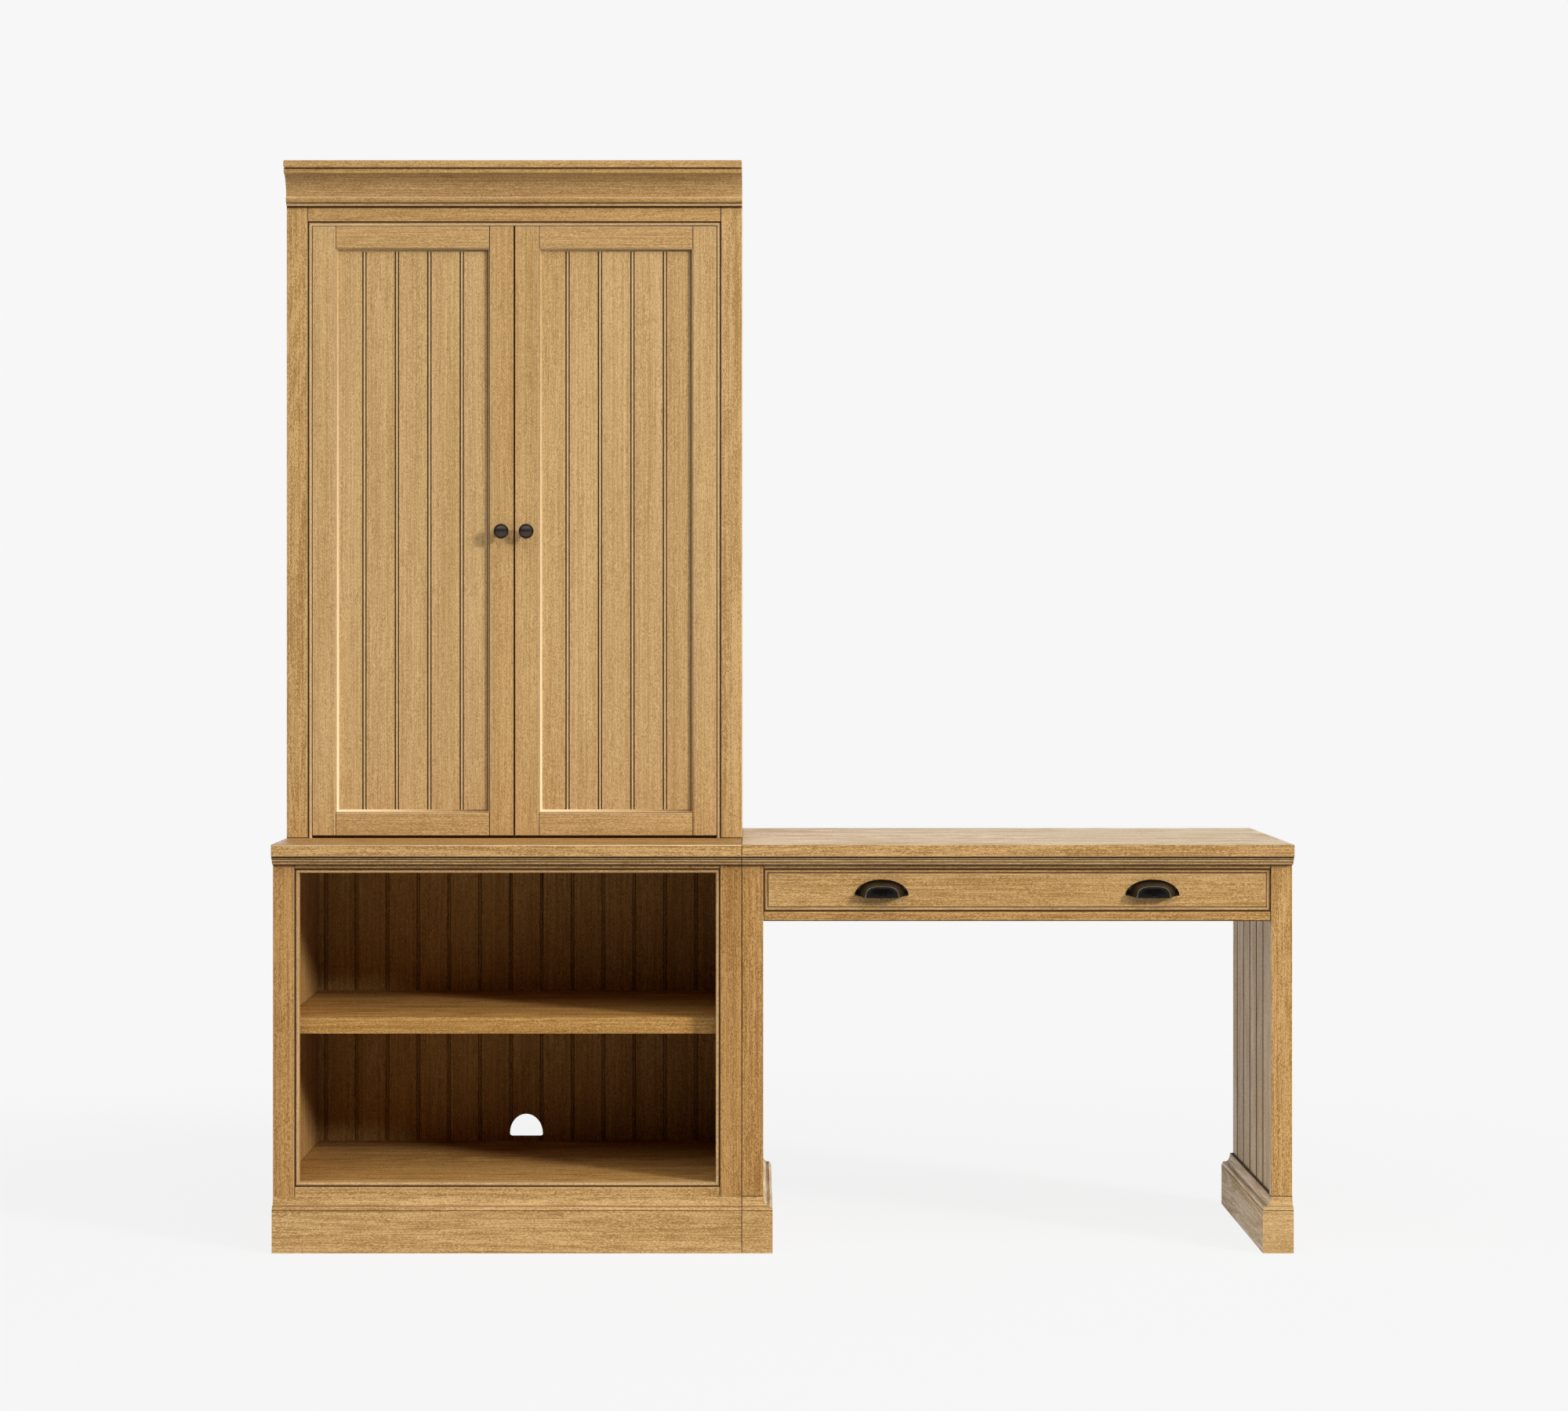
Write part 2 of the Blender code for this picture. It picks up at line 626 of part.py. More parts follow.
def build_hutch_frame():
    stile_back = HUTCH_FACE + FRAME_DEPTH
    frame_left = CABINET_LEFT + STILE_WIDTH
    frame_right = CABINET_RIGHT - STILE_WIDTH
    board(
        "hutch_stile_left",
        (CABINET_LEFT, HUTCH_FACE, HUTCH_FLOOR),
        (frame_left, stile_back, HUTCH_CARCASS_TOP),
    )
    board(
        "hutch_stile_right",
        (frame_right, HUTCH_FACE, HUTCH_FLOOR),
        (CABINET_RIGHT, stile_back, HUTCH_CARCASS_TOP),
    )
    board(
        "hutch_frieze_rail",
        (frame_left + FIT_GAP, HUTCH_FACE, FRIEZE_BOTTOM),
        (frame_right - FIT_GAP, stile_back, HUTCH_CARCASS_TOP),
    )
    opening = [
        (frame_left, HUTCH_FLOOR),
        (frame_left, FRIEZE_BOTTOM),
        (frame_right, FRIEZE_BOTTOM),
        (frame_right, HUTCH_FLOOR),
    ]
    moulding("hutch_opening_bead", bead_profile(), opening, on_front(HUTCH_FACE))
    moulding("hutch_crown", crown_profile(), [(CABINET_LEFT, HUTCH_FACE), (CABINET_RIGHT, HUTCH_FACE)])


def build_doors():
    opening_left = CABINET_LEFT + STILE_WIDTH + BEAD_WIDTH
    opening_right = CABINET_RIGHT - STILE_WIDTH - BEAD_WIDTH
    build_door("left_door", opening_left + DOOR_SIDE_GAP, CABINET_MIDDLE - DOOR_GAP / 2)
    build_door("right_door", opening_right - DOOR_SIDE_GAP, CABINET_MIDDLE + DOOR_GAP / 2)


def span(low, high, first, second):
    """Two corners of a box between two places across, whichever side they lie on."""
    return (min(first, second), *low), (max(first, second), *high)


def build_door(name, hinge_edge, lock_edge):
    """A framed beadboard door that turns on an axis near its front hinge edge."""
    inward = 1 if lock_edge > hinge_edge else -1
    bottom = BASE_HEIGHT + DOOR_BOTTOM_GAP
    top = FRIEZE_BOTTOM - BEAD_WIDTH - DOOR_SIDE_GAP
    back = HUTCH_FACE + DOOR_THICKNESS
    axis = add_axis(
        name + "_axis", (hinge_edge + inward * HINGE_AXIS_INSET, HUTCH_FACE + HINGE_AXIS_INSET, bottom)
    )
    panel_front = HUTCH_FACE + PANEL_RECESS
    panel_back = panel_front + PANEL_THICKNESS
    hinge_inner = hinge_edge + inward * HINGE_STILE_WIDTH
    lock_inner = lock_edge - inward * LOCK_STILE_WIDTH
    rail_low = bottom + DOOR_BOTTOM_RAIL_HEIGHT
    rail_high = top - DOOR_TOP_RAIL_HEIGHT

    hinge_stile = board(
        name + "_hinge_stile",
        *span((HUTCH_FACE, bottom), (back, top), hinge_edge, hinge_inner),
        carrier=axis,
    )
    lock_stile = board(
        name + "_lock_stile", *span((HUTCH_FACE, bottom), (back, top), lock_edge, lock_inner), carrier=axis
    )
    rail_ends = (hinge_inner + inward * FIT_GAP, lock_inner - inward * FIT_GAP)
    top_rail = board(
        name + "_top_rail", *span((HUTCH_FACE, rail_high), (back, top), *rail_ends), carrier=axis
    )
    bottom_rail = board(
        name + "_bottom_rail", *span((HUTCH_FACE, bottom), (back, rail_low), *rail_ends), carrier=axis
    )

    groove = PANEL_TONGUE + FIT_GAP
    groove_low, groove_high = span(
        (panel_front - FIT_GAP, rail_low - groove),
        (panel_back + FIT_GAP, rail_high + groove),
        hinge_inner - inward * groove,
        lock_inner + inward * groove,
    )
    panel_groove = make_cutter(name + "_panel_groove", box_shape(groove_low, groove_high))
    for member in (hinge_stile, lock_stile, top_rail, bottom_rail):
        combine(member, panel_groove, "DIFFERENCE")

    left, right = sorted((hinge_inner - inward * PANEL_TONGUE, lock_inner + inward * PANEL_TONGUE))
    panel = beadboard(
        name + "_panel",
        left,
        right,
        panel_front,
        PANEL_THICKNESS,
        rail_low - PANEL_TONGUE,
        rail_high + PANEL_TONGUE,
        right - left - 2 * PANEL_TONGUE - 2 * PANEL_BORDER_WIDTH,
        carrier=axis,
    )
    add_panel_border(panel, sorted((hinge_inner, lock_inner)), (rail_low, rail_high), panel_front)

    add_knob(name, (lock_edge + lock_inner) / 2, axis)
    for level, height in (("lower", bottom + HINGE_END_DISTANCE), ("upper", top - HINGE_END_DISTANCE)):
        add_hinge(name, level, height, hinge_edge, inward, hinge_stile, axis)


def add_panel_border(panel, across, heights, panel_front):
    """The sloped moulding round the panel, inside the door frame."""
    left, right = across[0] + FIT_GAP, across[1] - FIT_GAP
    low, high = heights[0] + FIT_GAP, heights[1] - FIT_GAP
    sunk = PANEL_THICKNESS / 2
    cove = (PANEL_BORDER_WIDTH - PANEL_BORDER_FLAT, PANEL_BORDER_HEIGHT)
    profile = [(0.0, -sunk), (0.0, PANEL_BORDER_HEIGHT)]
    profile += arc((PANEL_BORDER_WIDTH, PANEL_BORDER_HEIGHT), cove, 180, 270)
    profile.append((PANEL_BORDER_WIDTH, -sunk))
    path = [(left, low), (left, high), (right, high), (right, low)]
    border = moulding_shape(profile, path, on_front(panel_front), closed=True)
    combine(panel, make_cutter(panel.name + "_border", border), "UNION")


def add_knob(name, across, axis):
    radius = KNOB_DIAMETER / 2
    shoulder = KNOB_PROJECTION - KNOB_HEAD_HEIGHT
    neck = KNOB_NECK_DIAMETER / 2
    foot = KNOB_FOOT_DIAMETER / 2
    dome = arc((0.0, shoulder), (radius, KNOB_HEAD_HEIGHT), 90, 0)
    profile = [(0.0, KNOB_PROJECTION)] + dome[1:]
    profile += [(radius - KNOB_RIM_TAPER, shoulder - KNOB_RIM_DROP), (neck, shoulder - KNOB_UNDERSIDE_DROP)]
    profile += [(neck, KNOB_FOOT_HEIGHT), (foot, KNOB_FOOT_EDGE), (foot, FIT_GAP), (0.0, FIT_GAP)]
    turned(name + "_knob", profile, (across, HUTCH_FACE, KNOB_HEIGHT), BRONZE, KNOB_STEPS, axis)


def add_hinge(name, level, height, hinge_edge, inward, hinge_stile, axis):
    """A concealed hinge: the cup is let into the back of the door, the arm stands on the carcass side."""
    radius = CUP_DIAMETER / 2
    centre = hinge_edge + inward * (CUP_EDGE_DISTANCE + radius)
    back = HUTCH_FACE + DOOR_THICKNESS
    bm = bmesh.new()
    bore = bmesh.ops.create_cone(
        bm,
        cap_ends=True,
        segments=CUP_STEPS,
        radius1=radius + FIT_GAP,
        radius2=radius + FIT_GAP,
        depth=2 * (CUP_DEPTH + FIT_GAP),
    )["verts"]
    bmesh.ops.rotate(bm, verts=bore, cent=(0, 0, 0), matrix=TURN_TO_Y)
    bmesh.ops.translate(bm, verts=bore, vec=(centre, back, height))
    combine(hinge_stile, make_cutter(f"{name}_{level}_cup_bore", bm), "DIFFERENCE")

    flange = radius + CUP_FLANGE_WIDTH
    inner = radius - CUP_WALL
    rim = CUP_FLANGE_THICKNESS + FIT_GAP
    profile = [(0.0, CUP_WALL - CUP_DEPTH), (inner, CUP_WALL - CUP_DEPTH), (inner, rim), (flange, rim)]
    profile += [(flange, FIT_GAP), (radius, FIT_GAP), (radius, -CUP_DEPTH), (0.0, -CUP_DEPTH)]
    turned(f"{name}_{level}_hinge_cup", profile, (centre, back, height), STEEL, CUP_STEPS, axis, facing=1)

    plate = hinge_edge - inward * (DOOR_SIDE_GAP + BEAD_WIDTH + STILE_WIDTH - SIDE_THICKNESS - FIT_GAP)
    plate_face = plate + inward * ARM_PLATE_THICKNESS
    near = max(back + rim, HUTCH_FRAME_BACK) + FIT_GAP
    outline = [(plate, near), (plate, near + ARM_PLATE_LENGTH), (plate_face, near + ARM_PLATE_LENGTH)]
    outline += [(plate_face, near + ARM_ROOT_DEPTH), (centre, near + ARM_TIP_DEPTH)]
    outline += [(centre + inward * inner, near + ARM_TIP_DEPTH), (centre + inward * inner, near)]
    points = [(x, y, height - ARM_HEIGHT / 2) for x, y in outline]
    place(f"{name}_{level}_hinge_arm", prism_shape(points, (0, 0, ARM_HEIGHT)), STEEL)


def build_desk():
    moulding("desk_top", slab_profile(), [(DESK_LEFT, FACE), (DESK_RIGHT, FACE)])
    inner_left = DESK_LEFT + STILE_WIDTH
    inner_right = DESK_RIGHT - STILE_WIDTH
    corner_path = [(DESK_LEFT, FACE), (inner_left, FACE), (inner_left, BACK)]
    moulding("desk_plinth_left", plinth_profile(), corner_path)
    corner_path = [(inner_right, BACK), (inner_right, FACE), (DESK_RIGHT, FACE)]
    moulding("desk_plinth_right", plinth_profile(), corner_path)
    rail_bottom = SLAB_UNDERSIDE - APRON_TOP_RAIL_HEIGHT
    frame_bottom = rail_bottom - DRAWER_FRAME_HEIGHT
    apron_bottom = frame_bottom - APRON_BOTTOM_RAIL_HEIGHT
    build_leg("desk_leg_left", DESK_LEFT, inner_left, frame_bottom)
    build_leg("desk_leg_right", DESK_RIGHT, inner_right, frame_bottom)

    rail_left = inner_left + FIT_GAP
    rail_right = inner_right - FIT_GAP
    rail_back = FACE + FRAME_DEPTH
    board("desk_top_rail", (rail_left, FACE, rail_bottom), (rail_right, rail_back, CARCASS_TOP))
    board("desk_bottom_rail", (rail_left, FACE, apron_bottom), (rail_right, rail_back, frame_bottom))
    opening = [
        (inner_left, frame_bottom),
        (inner_left, rail_bottom),
        (inner_right, rail_bottom),
        (inner_right, frame_bottom),
    ]
    moulding("desk_drawer_bead", bead_profile(), opening, on_front(FACE), closed=True)
    board(
        "desk_back_rail",
        (rail_left - LEG_PANEL_RECESS, BACK - BACK_RAIL_THICKNESS, apron_bottom),
        (rail_right + LEG_PANEL_RECESS, BACK, CARCASS_TOP),
    )
    drawer_opening = (inner_left + BEAD_WIDTH, inner_right - BEAD_WIDTH)
    build_drawer(drawer_opening, frame_bottom + BEAD_WIDTH, rail_bottom - BEAD_WIDTH)


def build_leg(name, outer, inner, frame_bottom):
    """A panel leg: a front stile and a sunk beadboard inner face, with a drawer runner near its top."""
    inward = 1 if inner > outer else -1
    leg = board(name, *span((FACE, 0), (BACK, CARCASS_TOP), outer, inner))
    sunk = inner - inward * LEG_PANEL_RECESS
    beyond = inner + inward * LEG_PANEL_RECESS
    past_back = BACK + LEG_PANEL_RECESS
    grooves = [FACE + LEG_FIRST_GROOVE + LEG_GROOVE_PITCH * index for index in range(LEG_GROOVES)]
    outline = [(sunk, FACE + LEG_STILE_DEPTH)]
    outline += [(sunk + inward * height, along) for along, height in grooved_edge(grooves)]
    outline += [(sunk, past_back), (beyond, past_back), (beyond, FACE + LEG_STILE_DEPTH)]
    points = [(x, y, PLINTH_HEIGHT + FIT_GAP) for x, y in outline]
    sunk_panel = prism_shape(points, (0, 0, BASE_HEIGHT - PLINTH_HEIGHT))
    combine(leg, make_cutter(name + "_sunk_panel", sunk_panel), "DIFFERENCE")

    drawer_side = inner + inward * (BEAD_WIDTH + DRAWER_SIDE_CLEARANCE)
    runner_top = frame_bottom + BEAD_WIDTH + DRAWER_GAP - FIT_GAP
    runner = box_shape(
        *span(
            (FRAME_BACK, runner_top - RUNNER_HEIGHT),
            (BACK - BACK_RAIL_THICKNESS - FIT_GAP, runner_top),
            (outer + sunk) / 2,
            drawer_side + inward * RUNNER_BEARING,
        )
    )
    combine(leg, make_cutter(name + "_runner", runner), "UNION")


def build_drawer(opening, opening_bottom, opening_top):
    """An inset drawer on runners, with two cup pulls."""
    slide = add_axis("drawer_slide", (DESK_MIDDLE, FACE, opening_bottom))
    bottom = opening_bottom + DRAWER_GAP
    front_back = FACE + DRAWER_FRONT_THICKNESS
    board(
        "drawer_front",
        (opening[0] + DRAWER_GAP, FACE, bottom),
        (opening[1] - DRAWER_GAP, front_back, opening_top - DRAWER_GAP),
        carrier=slide,
    )
    left = opening[0] + DRAWER_SIDE_CLEARANCE
    right = opening[1] - DRAWER_SIDE_CLEARANCE
    near = front_back + FIT_GAP
    far = near + DRAWER_BOX_DEPTH
    top = bottom + DRAWER_BOX_HEIGHT
    side = DRAWER_SIDE_THICKNESS
    board("drawer_side_left", (left, near, bottom), (left + side, far, top), PALE_OAK, slide)
    board("drawer_side_right", (right - side, near, bottom), (right, far, top), PALE_OAK, slide)
    inner_left = left + side + FIT_GAP
    inner_right = right - side - FIT_GAP
    floor = bottom + DRAWER_BOTTOM_RISE
    back_near = far - side
    back_top = top - DRAWER_BACK_DROP
    board("drawer_back", (inner_left, back_near, bottom), (inner_right, far, back_top), PALE_OAK, slide)
    board(
        "drawer_bottom",
        (inner_left, near, floor),
        (inner_right, back_near - FIT_GAP, floor + DRAWER_BOTTOM_THICKNESS),
        PALE_OAK,
        slide,
    )
    for name, across in (("left_cup_pull", -PULL_OFFSET), ("right_cup_pull", PULL_OFFSET)):
        add_cup_pull(name, (DESK_MIDDLE + across, FACE - FIT_GAP, bottom + PULL_RISE), slide)


def add_cup_pull(name, position, slide):
    """A half-dish shell: a sloped skirt, a ridge and a domed front with a low lip, open below."""
    half = PULL_WIDTH / 2
    deep = PULL_PROJECTION
    shape = [(1.0, 0.0), (1.0, 0.08), (0.90, 0.22), (0.78, 0.36), (0.70, 0.55), (0.64, 0.84), (0.58, 0.93)]
    shape += [(0.36, 0.985), (0.0, 1.0)]
    bm = bmesh.new()
    verts = [bm.verts.new((half * radius, -deep * depth, 0.0)) for radius, depth in shape]
    edges = [bm.edges.new(pair) for pair in zip(verts, verts[1:])]
    bmesh.ops.spin(
        bm, geom=verts + edges, cent=(0, 0, 0), axis=(0, -1, 0), angle=math.pi, steps=PULL_STEPS
    )
    bmesh.ops.remove_doubles(bm, verts=bm.verts, dist=0.00001)
    bmesh.ops.scale(bm, verts=bm.verts, vec=(1, 1, PULL_HEIGHT / half))
    for vert in bm.verts:
        if vert.co.z < FIT_GAP:
            vert.co.z += PULL_LIP_DROP * vert.co.y / deep
    bmesh.ops.recalc_face_normals(bm, faces=bm.faces)
    bm.normal_update()
    crest = max(bm.faces, key=lambda face: face.calc_center_median().z)
    if crest.normal.z < 0:
        bmesh.ops.reverse_faces(bm, faces=bm.faces)
    mesh = bpy.data.meshes.new(name)
    bm.to_mesh(mesh)
    bm.free()
    mesh.shade_smooth()
    pull = bpy.data.objects.new(name, mesh)
    pull.parent = slide
    pull.location = Vector(position) - slide.location
    PARTS.objects.link(pull)
    shell = pull.modifiers.new("shell", "SOLIDIFY")
    shell.thickness = PULL_WALL
    shell.offset = -1.0
    add_finish(pull, BRONZE)


clear_scene()
PARTS = new_collection("writing_desk_with_bookcase")
CUTTERS = new_collection("cutters")
build_base_cabinet()
build_hutch()
build_doors()
build_desk()
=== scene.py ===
"""Looks of the writing desk with bookcase: lacquered oak boards and dark bronze fittings.

Metres, +Z up, the front faces -Y, in the frame that the solids have.
"""

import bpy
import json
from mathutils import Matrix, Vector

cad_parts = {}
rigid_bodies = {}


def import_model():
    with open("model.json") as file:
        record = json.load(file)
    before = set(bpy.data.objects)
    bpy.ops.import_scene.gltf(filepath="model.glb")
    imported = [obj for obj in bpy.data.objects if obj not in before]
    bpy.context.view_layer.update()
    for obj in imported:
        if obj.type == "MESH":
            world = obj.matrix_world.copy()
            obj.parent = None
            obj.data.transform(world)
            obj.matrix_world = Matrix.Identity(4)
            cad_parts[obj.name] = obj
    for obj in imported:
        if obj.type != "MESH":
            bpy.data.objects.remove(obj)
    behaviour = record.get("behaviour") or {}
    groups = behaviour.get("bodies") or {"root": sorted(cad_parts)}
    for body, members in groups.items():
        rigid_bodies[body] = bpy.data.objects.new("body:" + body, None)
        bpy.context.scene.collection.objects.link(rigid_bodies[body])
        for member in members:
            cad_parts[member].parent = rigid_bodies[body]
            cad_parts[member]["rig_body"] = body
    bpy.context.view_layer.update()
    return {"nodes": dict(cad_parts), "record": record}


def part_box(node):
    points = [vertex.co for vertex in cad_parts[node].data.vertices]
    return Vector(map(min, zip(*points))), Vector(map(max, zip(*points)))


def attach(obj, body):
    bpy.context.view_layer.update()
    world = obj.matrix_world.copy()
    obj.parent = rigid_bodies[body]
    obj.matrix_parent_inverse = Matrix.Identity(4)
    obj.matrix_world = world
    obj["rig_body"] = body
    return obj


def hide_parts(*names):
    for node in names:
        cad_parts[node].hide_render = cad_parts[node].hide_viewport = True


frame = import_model()
BOXES = {node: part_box(node) for node in frame["nodes"]}
SLOTS = {part["node"]: part["material_slot"] for part in frame["record"]["subparts"]}

import json
import math
import random

import bmesh
import bpy
from mathutils import Vector

MM = 0.001

# Camera: the photograph's frame, where its level lines meet, and the eye that this gives
PHOTO_WIDTH = 2000
PHOTO_HEIGHT = 1800
VANISHING_X = 960
VANISHING_Y = 818
FOCAL_PIXELS = 4642
SENSOR_WIDTH = 36.0
EYE = (-0.056, -7.077, 1.141)

# Studio: a soft lamp far to the front right, a bright panel high in front, a white wall low down behind
LAMP_AIM = Vector((-0.1, 0.0, 0.9))
LAMP_WAY = Vector((1.2, -1.0, 0.53))
LAMP_DISTANCE = 20.0
LAMP_SIZE = 3.4
LAMP_POWER = 3280.0
ROOM_LIGHT = 0.015
PANEL_LIGHT = 1.9
WALL_LIGHT = 1.8
WALL_SHEEN = 1.35
WHITE = "#F7F7F7"
FLOOR_SIZE = 60.0
FLOOR_DROP = 0.5 * MM
FLOOR_GREY = "#CFCFCF"
FLOOR_SHADE = 0.085
SHADE_NEAR = 1.6
SHADE_FAR = 3.4
# Parts of the room, by how far a way points back, points up, or is steep: where each part begins, where
# it is full, and its share
ROOM_MASKS = {
    "wall_behind": ("back", 0.05, 0.45, 1.0),
    "wall_low": ("steep", 0.55, 0.25, 1.0),
    "wall_aside": ("back", 0.85, 0.60, 1.15),
    "panel_ahead": ("back", 0.05, -0.15, 1.0),
    "panel_foot": ("up", 0.42, 0.55, 1.0),
    "panel_top": ("up", 0.95, 0.85, 1.0),
}

# Boards: when a face counts as looking one way, and how the merged solids are eased and worn
MERGE_DISTANCE = 0.01 * MM
FLAT_ANGLE = math.radians(1.0)
FLAT_SHARE = 0.6
SIDE_SHARE = 0.5
SQUARE_SHARE = 0.9
SHARP_ANGLE = math.radians(38.0)
ARRIS_ANGLE = math.radians(50.0)
ARRIS_LENGTH = 14 * MM
ARRIS_FACE = 2.4 * MM
ARRIS_EASE = 0.8 * MM
# Narrow faces along a hollow line take full glaze, which also paints the shade in the hollow
HOLLOW_ANGLE = math.radians(-40.0)
HOLLOW_FACE = 4.6 * MM
STRIP_FACE = 9 * MM
WORN = -0.7
STRIP_WORN = -0.5

# Beads round the openings: the quirk's full glaze, which also paints the quirk's shade, how far it runs
# out, the round's glaze, and the painted shade line on the boards to the left, to the right, below and
# above;
# the hutch has no bead below
QUIRK_INSET = 2.0 * MM
QUIRK_FADE = 2.2 * MM
BEAD_GLAZES = {"hutch_opening_bead": -0.4, "base_opening_bead": -0.2, "desk_drawer_bead": 0.1}
BEAD_SHADE_REACH = 0.9 * MM
BEAD_FRAMES = {
    "base_opening_bead": ("base_stile_left", "base_stile_right", "base_bottom_rail", "base_top_rail"),
    "desk_drawer_bead": ("desk_leg_left", "desk_leg_right", "desk_bottom_rail", "desk_top_rail"),
    "hutch_opening_bead": ("hutch_stile_left", "hutch_stile_right", None, "hutch_frieze_rail"),
}

# Moulded border round a door panel: insets of its outer and inner edges, the painted highlight on its lit
# left side and foot, and the painted shadow lines and painted shade on its top and right side
BORDER_OUTER = 4.6 * MM
BORDER_INNER = 9.9 * MM
BORDER_END = 10.5 * MM
BORDER_PAINTED_HIGHLIGHT = -1.5
BORDER_PAINTED_SHADOW = 0.8
BORDER_PAINTED_SHADE = 0.55
# The end of each lock stile's width at which the doors meet; its eased edge is painted dark as the shade
# in the gap between the doors
MEETING_EDGES = {"left_door_lock_stile": 1, "right_door_lock_stile": 0}

# Glaze in the joints where boards meet, painted shadow under overhanging pieces, and painted shade in the
# corners at the feet of boards: full in a line's core, and running out over its reach
LINE_CORE = 2.0 * MM
CORE_SHARE = 0.6
JOINT_REACH = 1.5 * MM
SEAM_REACH = 0.9 * MM
FOOT_SHADE_REACH = 2.0 * MM
HUTCH_UPRIGHTS = ("hutch_stile_left", "hutch_stile_right", "hutch_side_left", "hutch_side_right")
BASE_UPRIGHTS = ("base_stile_left", "base_stile_right", "base_side_left", "base_side_right")
# Painted shadow on the boards under each overhanging piece, with its reach
SHADOW_LINES_BELOW = {
    "hutch_top": (2.6 * MM, ("hutch_crown",)),
    "hutch_crown": (5.0 * MM, ("hutch_frieze_rail", *HUTCH_UPRIGHTS)),
    "base_top": (3.0 * MM, ("base_top_rail", *BASE_UPRIGHTS)),
    "desk_top": (3.0 * MM, ("desk_top_rail", "desk_leg_left", "desk_leg_right")),
}
# Glaze in the joint and painted shade in the corner at the foot of each board that stands on these pieces
SHADE_LINES_ABOVE = {
    "base_top": HUTCH_UPRIGHTS,
    "desk_plinth_left": ("desk_leg_left",),
    "desk_plinth_right": ("desk_leg_right",),
}
LEFT_OF_SEAM = ("base_top", "base_stile_right", "base_plinth")
RIGHT_OF_SEAM = ("desk_top", "desk_leg_left", "desk_plinth_left")

# Worktops: the underside of the slab, and the share of its tone that the moulding below it has, which is
# painted light: it makes the moulding paler where the slab shades it
WORKTOPS = ("base_top", "desk_top")
SLAB_UNDERSIDE = 740 * MM
BED_PAINTED_LIGHT = 0.86

# Lines of a moulding's own profile: height, way, reach and glaze. The glaze paints the shade in the
# profile's hollows, the shadow under the slabs and the shade along the bottom rail's lower edge; below
# nothing, it paints a highlight on a lit arris.
# A glaze above 1 has a hard edge, because it is full over more of its reach.
BED_SHADE_AND_HIGHLIGHTS = (
    (SLAB_UNDERSIDE, 1, 1.6 * MM, -0.6),
    (SLAB_UNDERSIDE, -1, 3.4 * MM, 2.0),
    (734.7 * MM, -1, 1.6 * MM, 0.9),
    (729.3 * MM, -1, 1.6 * MM, 0.9),
)
PLINTH_SHADE_LINES = ((86.0 * MM, 1, 1.5 * MM, 0.5), (78.6 * MM, 1, 1.9 * MM, 0.9))
PROFILE_SHADE_AND_HIGHLIGHTS = {
    "base_top": (*BED_SHADE_AND_HIGHLIGHTS, (BOXES["base_top"][1].z, -1, 2.2 * MM, -1.0)),
    "desk_top": BED_SHADE_AND_HIGHLIGHTS,
    "base_plinth": PLINTH_SHADE_LINES,
    "desk_plinth_left": PLINTH_SHADE_LINES,
    "desk_plinth_right": PLINTH_SHADE_LINES,
    "hutch_crown": ((1983.7 * MM, -1, 1.9 * MM, 1.0), (1993.7 * MM, 1, 1.8 * MM, -1.0)),
    "desk_bottom_rail": ((BOXES["desk_bottom_rail"][0].z, 1, 2.2 * MM, 1.0),),
}

# Beadboard: plank widths on the backs and door panels, and on the legs' inner faces
BEADBOARD_BACKS = ("base_back", "hutch_back")
PLANK_PITCH = 62.5 * MM
LEG_PLANK_PITCH = 92 * MM
LEG_FIRST_GROOVE = 149 * MM
GROOVE_HALF = 3.7 * MM
GROOVE_REACH = 4 * MM
GROOVE_FACE = 3 * MM
# Glaze on the grooves' slopes and on the bead between them, which also paints the grooves' shade
GROOVE_GLAZE_AND_SHADE = (1.0, -0.3)
GROOVE_GLAZES_AND_SHADE = {"base_back": (0.5, 0.3), "desk_leg_left": (1.0, 0.8), "desk_leg_right": (1.0, 0.8)}
# Painted shade on the planks beside the grooves, drawn wider than the grooves' own shade: which grooves,
# its reach and the way that the planks face
FORWARDS = Vector((0, -1, 0))
PANEL_GROOVES = (range(-1, 3), 0.7 * MM, FORWARDS)
GROOVED_BOARDS = {
    "left_door_panel": PANEL_GROOVES,
    "right_door_panel": PANEL_GROOVES,
    "desk_leg_left": (range(5), 2.5 * MM, Vector((1, 0, 0))),
    "desk_leg_right": (range(5), 2.5 * MM, Vector((-1, 0, 0))),
}

# Oak figure in real sizes: length along the grain, width across it, finer octaves, share of the tone.
# Real pores are 0.3 mm wide and are drawn coarser here, so that they show.
OAK_PATTERNS = {
    "bands": (500 * MM, 40 * MM, 1.0, 0.60),
    "growth": (800 * MM, 3.0 * MM, 1.0, 1.20),
    "streaks": (36 * MM, 1.1 * MM, 1.0, 1.50),
    "flecks": (3.6 * MM, 1.0 * MM, 0.0, 2.00),
    "pores": (7 * MM, 0.9 * MM, 1.0, 0.0),
    "flame": (900 * MM, 75 * MM, 1.0, 0.0),
}
OCTAVE_SHARE = 0.6
WAVER_LENGTH = 350 * MM
WAVER_WIDTH = 60 * MM
WAVER_REACH = 7 * MM
FLAME_RINGS = 95.0
FLAME_SHARE = 0.08
# Contrast of a board without figure, and what its figure adds
BOLD_LEAST = 0.70
BOLD_RANGE = 0.50
MIDDLE_TONE = 0.5
# Where a pore begins and is full, how dark it is, and the relief of the grain
PORE_EDGE = 0.56
PORE_FULL = 0.70
PORE_SHARE = 0.55
RELIEF_STRENGTH = 0.35
RELIEF_DEPTH = 0.25 * MM
